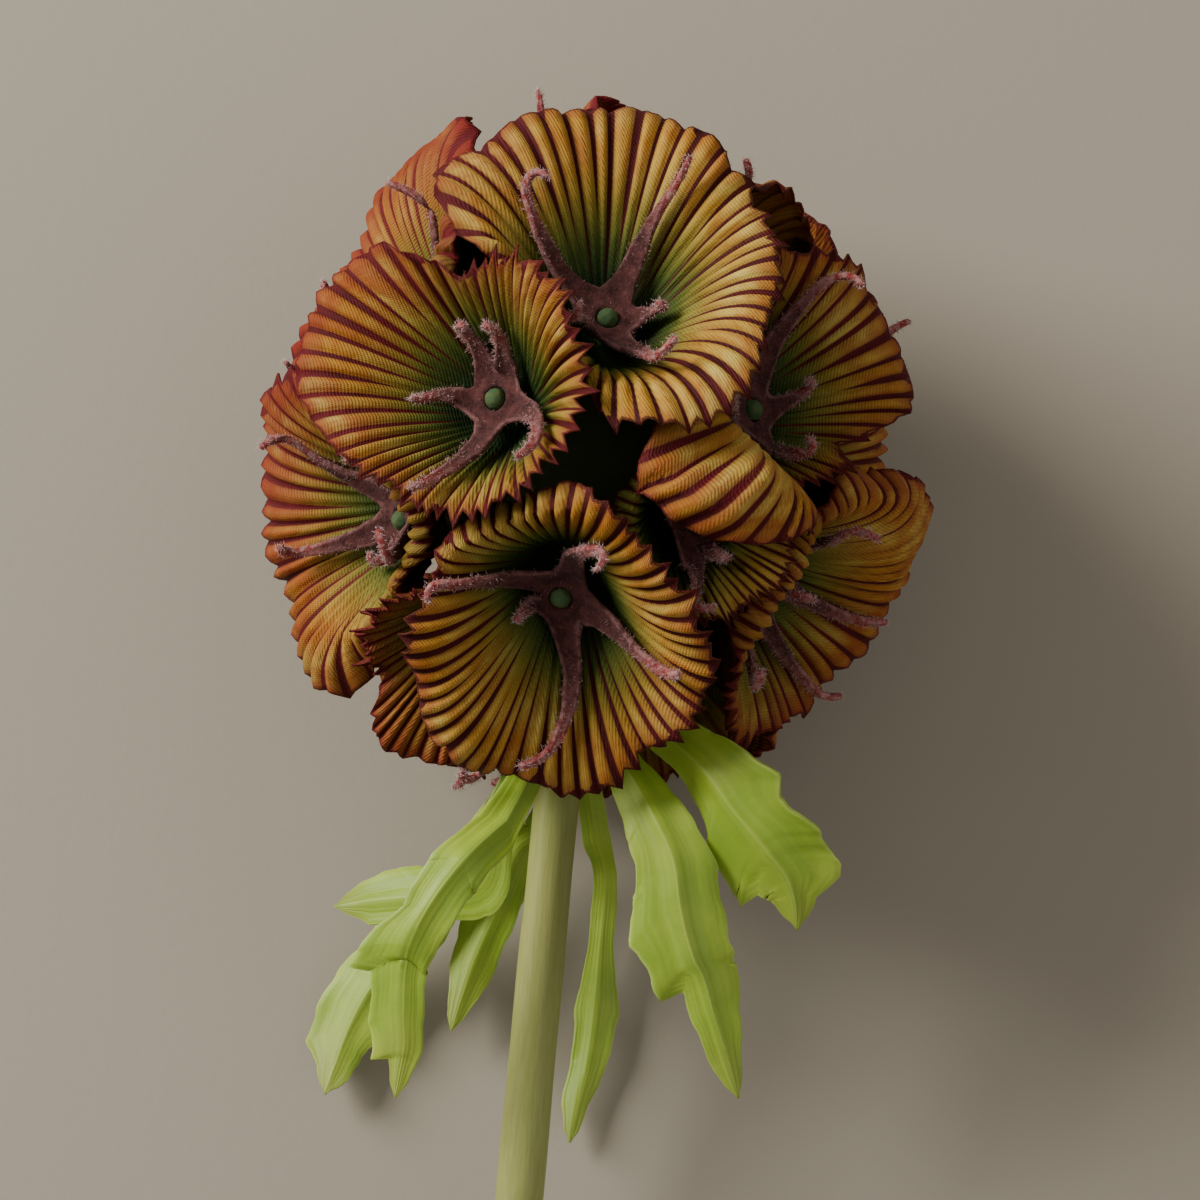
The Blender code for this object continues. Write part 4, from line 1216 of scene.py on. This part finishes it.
def make_stem(settings, skin):
    """The cut stem: a long tube, slightly uneven, closed at both ends."""
    top, way, length = stem_geometry()
    up = unit(np.cross(way, np.array((1.0, 0.0, 0.0))))
    across = np.cross(up, way)
    shares = np.linspace(0.0, 1.0, STEM_ROWS + 1)
    distances = STEM_START + (length - STEM_START) * shares
    centres = top + way * distances[:, None] * MM
    centres = centres + np.array((1.0, 0.0, 0.0)) * (STEM_BOW * MM * shares ** 2)[:, None]
    turns = np.linspace(0.0, math.tau, STEM_SIDES + 1)
    turn, share = np.broadcast_arrays(turns[:, None], shares[None, :])
    uneven = sum(depth * np.sin(a * turn + b * share + c) for depth, a, b, c in STEM_WAVES)
    plain = STEM_RADIUS_TOP + (STEM_RADIUS_END - STEM_RADIUS_TOP) * share
    radii = plain * (1.0 + (uneven - STEM_WAVES[0][0]) * STEM_ROUGH) * MM
    round_way = np.cos(turns)[:, None] * across + np.sin(turns)[:, None] * up
    points = centres[None] + round_way[:, None] * radii[..., None]
    points[..., 2] = np.maximum(points[..., 2], 0.0)
    along = np.broadcast_to(distances / 10.0, radii.shape)
    uv_maps = {"Skin": np.stack((turn / math.tau, along), axis=-1)}
    bm = new_mesh(uv_maps, ("cut",))
    patch = grid_patch(bm, STEM_SIDES, STEM_ROWS)
    bend_patch(bm, patch, points, uv_maps, {"cut": np.zeros(radii.shape)})
    bmesh.ops.remove_doubles(bm, verts=bm.verts, dist=MERGE)
    ends = [edge for edge in bm.edges if edge.is_boundary]
    caps = bmesh.ops.holes_fill(bm, edges=ends, sides=0)["faces"]
    bmesh.ops.recalc_face_normals(bm, faces=bm.faces)
    cut = bm.verts.layers.float["cut"]
    for depth, inset in STEM_CUTS:
        bmesh.ops.inset_region(
            bm, faces=caps, thickness=inset * MM, depth=depth * MM, use_even_offset=True)
        for cap in caps:
            for vert in cap.verts:
                vert[cut] = 1.0
    return piece_from("olive_stem", bm, skin)


def clear_share(points):
    """How much a row of a bract must move outwards to clear the bells beside it."""
    scaled = np.array(points) / np.array((1.0, 1.0, CROWN_STRETCH))
    radii = np.linalg.norm(scaled, axis=1)
    ways = scaled / radii[:, None]
    share = 1.0
    for bell, shape in enumerate(SHAPES):
        past, cloth = past_rim(shape, bell, ways)
        near = past < math.radians(COVER_EDGE)
        share = max(share, (near * (cloth + BRACT_CLEAR) / radii).max())
    return share


def bract_frames(turns, stations):
    """Spine of a bract with its width and lift directions at each station."""
    spine = np.array([(across, -near, down) for across, down, near, _, _ in stations])
    widths = []
    lifts = []
    for index in range(len(stations)):
        along = spine[min(index + 1, len(spine) - 1)] - spine[max(index - 1, 0)]
        width = -unit(np.cross(along, np.array((0.0, -1.0, 0.0))))
        lift = -unit(np.cross(along, width))
        angle = math.radians(turns[0] + (turns[1] - turns[0]) * index / (len(stations) - 1))
        widths.append(width * math.cos(angle) + lift * math.sin(angle))
        lifts.append(lift)
    return spine, np.array(widths), np.array(lifts)


def bract_shares(spine, widths, lifts, stations):
    """How far each station moves outwards to clear the bells."""
    rows = []
    for index, station in enumerate(stations):
        row = []
        for column in BRACT_CHECKS:
            half = station[3] if column < 0.0 else station[4]
            cup = BRACT_CUP * half * (abs(column) - 0.5)
            row.append(spine[index] + widths[index] * half * column + lifts[index] * cup)
        rows.append(row)
    shares = np.array([1.0] + [clear_share(row) for row in rows[1:]])
    for _ in rows:
        shares[1:] = np.maximum(shares[1:], 1.0 + (shares[:-1] - 1.0) * SHARE_KEEP)
        shares[1:-1] = np.maximum(shares[1:-1], 1.0 + (shares[2:] - 1.0) * SHARE_KEEP)
    return shares


def between_stations(values, known, marks):
    """Values at marks along a bract, on a smooth curve through the stations."""
    values = np.asarray(values, float)
    slopes = np.gradient(values, known, axis=0)
    low = np.clip(np.searchsorted(known, marks, side="right") - 1, 0, len(known) - 2)
    gap = (known[low + 1] - known[low])[:, None]
    share = (marks - known[low])[:, None] / gap
    square, cube = share ** 2, share ** 3
    near = (2 * cube - 3 * square + 1) * values[low] + (cube - 2 * square + share) * gap * slopes[low]
    far = (3 * square - 2 * cube) * values[low + 1] + (cube - square) * gap * slopes[low + 1]
    return near + far


def bract_points(index, turns, stations):
    """Middle surface of a bract on a fine grid, with distances along it."""
    spine, widths, lifts = bract_frames(turns, stations)
    shares = bract_shares(spine, widths, lifts, stations)
    known = np.append(0.0, np.cumsum(np.linalg.norm(np.diff(spine, axis=0), axis=1)))
    marks = np.union1d(np.arange(0.0, known[-1], BRACT_ROW), known)
    line = between_stations(spine, known, marks)
    width = unit(between_stations(widths, known, marks))
    lift = unit(between_stations(lifts, known, marks))
    ahead = unit(np.gradient(line, axis=0))
    share = np.interp(marks, known, shares)
    sides = np.linspace(-1.0, 1.0, BRACT_COLUMNS + 1)[:, None]
    chance = random.Random(index + BRACT_SEED)
    turn = [chance.uniform(0.0, math.tau) for _ in range(4)]
    halves = []
    for side, (coarse, fine) in enumerate(EDGE_WAVES):
        plain = np.interp(marks, known, [station[3 + side] for station in stations])
        wave = EDGE_DEPTHS[0] * np.sin(marks * coarse + turn[2 * side])
        small = EDGE_DEPTHS[1] * np.sin(marks * fine + turn[2 * side + 1])
        halves.append(plain * (1.0 + wave + small))
    half = np.where(sides < 0.0, halves[0][None, :], halves[1][None, :])
    half = half * np.minimum(1.0, (marks[-1] - marks + 0.15) / BRACT_POINT)
    weights = np.exp(-((marks[:, None] - marks[None, :]) / LOBE_BLEND) ** 2)
    soft = half @ (weights / weights.sum(axis=1, keepdims=True)).T
    aside = half * sides
    size = np.minimum(soft / 3.0, 1.0)
    cup = BRACT_CUP * (np.abs(aside) - 0.5 * soft)
    rib = -RIB[0] * np.exp(-(aside / RIB[1]) ** 2)
    folds = FOLD[0] * np.sin(aside * FOLD[1] + marks * 0.15 + turn[0])
    ripple = RIPPLE[0] * np.sin(marks * RIPPLE[1] + turn[1])
    ripple = ripple * np.minimum(np.abs(aside) / soft, 1.0) ** 3
    raised = cup + (rib + folds + ripple) * size
    fade = np.minimum(1.0, (marks[-1] - marks) / LOBE_FADE)
    droop = LOBE_DROOP * half * np.abs(sides) ** DROOP_POWER * fade
    crowd = LOBE_SPACING * np.arange(len(marks))
    droop = np.maximum.accumulate(marks + droop - crowd, axis=1) + crowd - marks
    points = line[None] + width[None] * aside[..., None] + lift[None] * raised[..., None]
    points = points + ahead[None] * droop[..., None]
    return points * share[None, :, None], marks


def make_bracts(settings, green):
    """The lobed bracts and the collar that joins them round the stem."""
    bm = new_mesh(("Leaf",), ("tip",))
    for index, (turns, stations) in enumerate(BRACTS):
        points, marks = bract_points(index, turns, stations)
        placed = place(points)
        placed[..., 2] = np.maximum(placed[..., 2], settings.thickness / 2.0)
        across = np.linspace(0.0, 1.0, BRACT_COLUMNS + 1)[:, None]
        along = marks[None, :] / 10.0 + index * 7.0
        tip = np.broadcast_to(marks / marks[-1], placed.shape[:2])
        leaf = np.stack(np.broadcast_arrays(across, along), axis=-1)
        patch = grid_patch(bm, BRACT_COLUMNS, len(marks) - 1)
        bend_patch(bm, patch, placed, {"Leaf": leaf}, {"tip": tip})
    bm = through_modifiers(bm, (
        ("SOLIDIFY", {"thickness": settings.thickness, "offset": 0.0}),
        ("BEVEL", {"width": settings.thickness * 0.3, "segments": 1, "limit_method": "ANGLE"})))
    join(bm, bract_collar())
    return piece_from("lime_bracts", bm, green)


def bract_collar():
    """The ring round the stem that carries the bracts."""
    top, way, _ = stem_geometry()
    inner = STEM_RADIUS_TOP + COLLAR_CLEAR
    outer = STEM_RADIUS_TOP + FIT_GAP + COLLAR_WALL
    profile = (
        (inner, COLLAR_FROM), (outer * COLLAR_ROUND, COLLAR_FROM), (outer, COLLAR_FROM + 0.8),
        (outer * 0.93, COLLAR_TO - 0.9), (inner + 0.3, COLLAR_TO), (inner, COLLAR_TO - 0.2))
    bm = new_mesh(("Leaf",), ("tip",))
    verts = [bm.verts.new((radius * MM, 0.0, height * MM)) for radius, height in profile]
    ring = [bm.edges.new((vert, verts[step - 1])) for step, vert in enumerate(verts)]
    bmesh.ops.spin(
        bm, geom=verts + ring, cent=(0.0, 0.0, 0.0), axis=UPWARDS, angle=math.tau,
        steps=COLLAR_SIDES, use_merge=True, use_duplicate=False)
    spot = Matrix.Translation(Vector(top)) @ turn_to(way).to_4x4()
    bmesh.ops.transform(bm, matrix=spot, verts=bm.verts)
    bmesh.ops.recalc_face_normals(bm, faces=bm.faces)
    return bm


# Operators


def colour(name, description, default):
    """A colour that a user can change."""
    return FloatVectorProperty(
        name=name, description=description, default=default, subtype="COLOR", min=0, max=1)


def size(name, description, default, **kind):
    """A size that a user can change, with its unit or subtype."""
    return FloatProperty(name=name, description=description, default=default, **kind)


def length(name, description, default):
    """A length in metres that a user can change."""
    return size(name, description, default, unit="LENGTH")


def number(name, description, default, least, most):
    """A whole number that a user can change."""
    return IntProperty(name=name, description=description, default=default, min=least, max=most)


class SeedPodBells(bpy.types.PropertyGroup):
    """Sizes and colours of the cloth bells."""

    pleats: number("Pleats", "Creases round each bell", 50, 20, 60)
    pleat_depth: length("Pleat depth", "Half the depth of a pleat at the rim", 0.00042)
    thickness: length("Cloth thickness", "Thickness of the cloth", 0.00026)
    tooth: length("Tooth length", "Length of the longest tooth of the rim", 0.0013)
    fray: number("Loose threads", "Thread ends along each rim", 150, 0, 400)
    fray_length: length("Thread length", "Length of the longest thread end", 0.00055)
    gold: colour("Gold", "Cloth between the stripes", (0.52, 0.27, 0.026))
    pale: colour("Pale gold", "Palest cloth", (0.70, 0.56, 0.13))
    rust: colour("Rust", "Streaks in the cloth", (0.36, 0.085, 0.010))
    outside: colour("Outside", "Cloth on the outer side", (0.40, 0.13, 0.025))
    red: colour("Red", "Blush of the redder bells", (0.24, 0.016, 0.012))
    # The throat colour is painted shade: the green cloth at the bottom of each bell, darkened.
    throat_and_painted_shade: colour("Throat", "Deepest green", (0.010, 0.030, 0.006))
    leaf: colour("Throat edge", "Green towards the rim", (0.10, 0.135, 0.013))
    maroon: colour("Maroon", "Stripes", (0.055, 0.003, 0.003))
    wine: colour("Wine", "Lighter stripes", (0.14, 0.007, 0.010))


class SeedPodStars(bpy.types.PropertyGroup):
    """Sizes and colours of the felt stars."""

    thickness: length("Felt thickness", "Thickness of the felt", 0.0006)
    curl_least: size("Least curl", "Least roll of a tip", 0.5, subtype="ANGLE")
    curl_most: size("Most curl", "Most roll of a tip", 3.4, subtype="ANGLE")
    hairs: number("Hairs", "Hairs on each star", 1300, 0, 2000)
    hair_length: length("Hair length", "Length of the longest hair", 0.00062)
    felt: colour("Plum", "Felt", (0.095, 0.030, 0.028))
    shade: colour("Dark plum", "Darker felt", (0.036, 0.012, 0.011))
    # Fuzz is the colour of the fibres, and on the edges and tips of the arms partly a painted
    # highlight.
    fuzz: colour("Fuzz", "Brushed edges", (0.46, 0.22, 0.21))
    hair: colour("Hair", "Hairs at the tips", (0.72, 0.50, 0.50))
    red: colour("Red", "Worn red patches", (0.38, 0.035, 0.03))


class SeedPodCore(bpy.types.PropertyGroup):
    """Grain and colours of the core and its knots."""

    grain: length("Grain", "Roughness of the foam", 0.00006)
    foam: colour("Foam", "Dark foam", (0.030, 0.045, 0.010))
    moss: colour("Moss", "Lighter foam", (0.075, 0.100, 0.024))
    knot: colour("Knot", "Knots on the pins", (0.020, 0.085, 0.028))


class SeedPodBracts(bpy.types.PropertyGroup):
    """Thickness and colours of the bracts."""

    thickness: length("Thickness", "Thickness of the cloth", 0.0004)
    lime: colour("Lime", "Fresh green", (0.26, 0.41, 0.018))
    yellow: colour("Yellow green", "Lighter patches", (0.41, 0.54, 0.045))
    # Olive is painted shade in the folds of the bracts.
    olive: colour("Olive", "Darker folds", (0.19, 0.33, 0.045))
    brown: colour("Tip brown", "Dry tips", (0.19, 0.20, 0.025))
    vein: colour("Vein", "Veins and edges", (0.50, 0.64, 0.12))


class SeedPodStem(bpy.types.PropertyGroup):
    """Colours of the stem."""

    skin: colour("Skin", "Olive skin", (0.30, 0.32, 0.075))
    light: colour("Light streaks", "Paler streaks", (0.46, 0.48, 0.17))
    brown: colour("Brown", "Brown specks", (0.24, 0.19, 0.07))
    pith: colour("Cut end", "Cut face", (0.50, 0.50, 0.30))


class SeedPodStage(bpy.types.PropertyGroup):
    """Floor, lights and camera."""

    floor: colour("Floor", "Floor paper", (0.385, 0.34, 0.27))
    floor_size: length("Floor size", "Side of the floor", 8.0)
    key: size("Key light", "Strength of the key light", 7.2, unit="POWER")
    fill: size("Fill light", "Strength of the fill light", 1.0, unit="POWER")
    air: size("Surroundings", "Strength of the soft light all round", 0.38)


class SEEDPOD_OT_bells(bpy.types.Operator):
    """Make the pleated cloth bells"""

    bl_idname = "seedpod.bells"
    bl_label = "Bells"

    def execute(self, context):
        settings = context.scene.seedpod_bells
        cloth = bell_cloth(settings)
        for bell, shape in enumerate(SHAPES):
            name = BELLS[bell][0]
            hand_over(make_bell(bell, shape, settings, cloth), "bell_cloth", "bell_" + name)
        return {"FINISHED"}


class SEEDPOD_OT_stars(bpy.types.Operator):
    """Make the felt stars"""

    bl_idname = "seedpod.stars"
    bl_label = "Stars"

    def execute(self, context):
        settings = context.scene.seedpod_stars
        felt = star_felt(settings)
        for bell in range(len(SHAPES)):
            name = BELLS[bell][0]
            hand_over(make_star(bell, SHAPES, settings, felt), "star_felt", "star_" + name)
        return {"FINISHED"}


class SEEDPOD_OT_core(bpy.types.Operator):
    """Make the core with its pins and knots"""

    bl_idname = "seedpod.core"
    bl_label = "Core"

    def execute(self, context):
        settings = context.scene.seedpod_core
        hand_over(make_core(settings, core_green(settings)), "core_green", "pod_core")
        return {"FINISHED"}


class SEEDPOD_OT_bracts(bpy.types.Operator):
    """Make the bracts and their collar"""

    bl_idname = "seedpod.bracts"
    bl_label = "Bracts"

    def execute(self, context):
        settings = context.scene.seedpod_bracts
        hand_over(make_bracts(settings, bract_cloth(settings)), "bract_cloth", "bract_whorl")
        return {"FINISHED"}


class SEEDPOD_OT_stem(bpy.types.Operator):
    """Make the cut stem"""

    bl_idname = "seedpod.stem"
    bl_label = "Stem"

    def execute(self, context):
        settings = context.scene.seedpod_stem
        hand_over(make_stem(settings, stem_skin(settings)), "stem_skin", "stem")
        return {"FINISHED"}


def look_at(name, data, target, back):
    """A camera or light at a distance back from the target that it looks at."""
    made = bpy.data.objects.new(name, data)
    bpy.context.scene.collection.objects.link(made)
    made.location = target + back
    made.rotation_euler = (-back).to_track_quat("-Z", "Y").to_euler()
    return made


def area_light(name, power, target, side, back, tint):
    """A square soft light that looks at a target."""
    lamp = bpy.data.lights.new(name, "AREA")
    lamp.energy = power
    lamp.size = side
    lamp.color = tint
    look_at(name, lamp, target, Vector(back))


class SEEDPOD_OT_stage(bpy.types.Operator):
    """Make the floor, the lights and the camera"""

    bl_idname = "seedpod.stage"
    bl_label = "Stage"

    def execute(self, context):
        settings = context.scene.seedpod_stage
        bm = bmesh.new()
        bmesh.ops.create_grid(bm, x_segments=8, y_segments=8, size=settings.floor_size / 2.0)
        floor = piece_from("floor", bm, paper_floor(settings))
        floor.location.z = -FLOOR_GAP
        middle = Vector(place(np.zeros(3)))
        area_light("key", settings.key, middle, *KEY_LIGHT)
        area_light("fill", settings.fill, middle, *FILL_LIGHT)
        world = bpy.data.worlds.new("air")
        world.use_nodes = True
        air = world.node_tree.nodes["Background"]
        air.inputs["Color"].default_value = AIR_TINT
        air.inputs["Strength"].default_value = settings.air
        context.scene.world = world
        rise = math.radians(VIEW_ELEVATION)
        aim_at = Vector((VIEW_ACROSS, VIEW_DOWN * math.cos(TILT), VIEW_DOWN * math.sin(TILT)))
        back = Vector((0.0, -math.cos(rise), math.sin(rise)))
        lens = bpy.data.cameras.new("photo_view")
        lens.sensor_width = SENSOR
        lens.lens = SENSOR * VIEW_DISTANCE / VIEW_WIDTH
        lens.clip_start = 0.01
        camera = look_at("photo_view", lens, middle + aim_at, back * VIEW_DISTANCE)
        context.scene.camera = camera
        return {"FINISHED"}


STEPS = ("core", "stem", "bracts", "bells", "stars", "stage")


class SEEDPOD_PT_build(bpy.types.Panel):
    """Buttons that make the seed pod's pieces"""

    bl_label = "Seed Pod"
    bl_idname = "SEEDPOD_PT_build"
    bl_space_type = "VIEW_3D"
    bl_region_type = "UI"
    bl_category = "Seed Pod"

    def draw(self, context):
        for step in STEPS:
            box = self.layout.box()
            box.operator("seedpod." + step)
            group = getattr(context.scene, "seedpod_" + step)
            for key in group.__annotations__:
                box.prop(group, key)


GROUPS = dict(zip(STEPS, (
    SeedPodCore, SeedPodStem, SeedPodBracts, SeedPodBells, SeedPodStars, SeedPodStage)))
CLASSES = (
    *GROUPS.values(), SEEDPOD_OT_bells, SEEDPOD_OT_stars, SEEDPOD_OT_core, SEEDPOD_OT_bracts,
    SEEDPOD_OT_stem, SEEDPOD_OT_stage, SEEDPOD_PT_build)


def register():
    """Add the classes and the scene's settings."""
    for made in CLASSES:
        bpy.utils.register_class(made)
    for step, group in GROUPS.items():
        setattr(bpy.types.Scene, "seedpod_" + step, PointerProperty(type=group))


def unregister():
    """Take the settings and classes away."""
    for step in STEPS:
        delattr(bpy.types.Scene, "seedpod_" + step)
    for made in reversed(CLASSES):
        bpy.utils.unregister_class(made)


def main():
    """Make every piece."""
    register()
    for step in STEPS:
        getattr(bpy.ops.seedpod, step)()


if __name__ == "__main__":
    main()
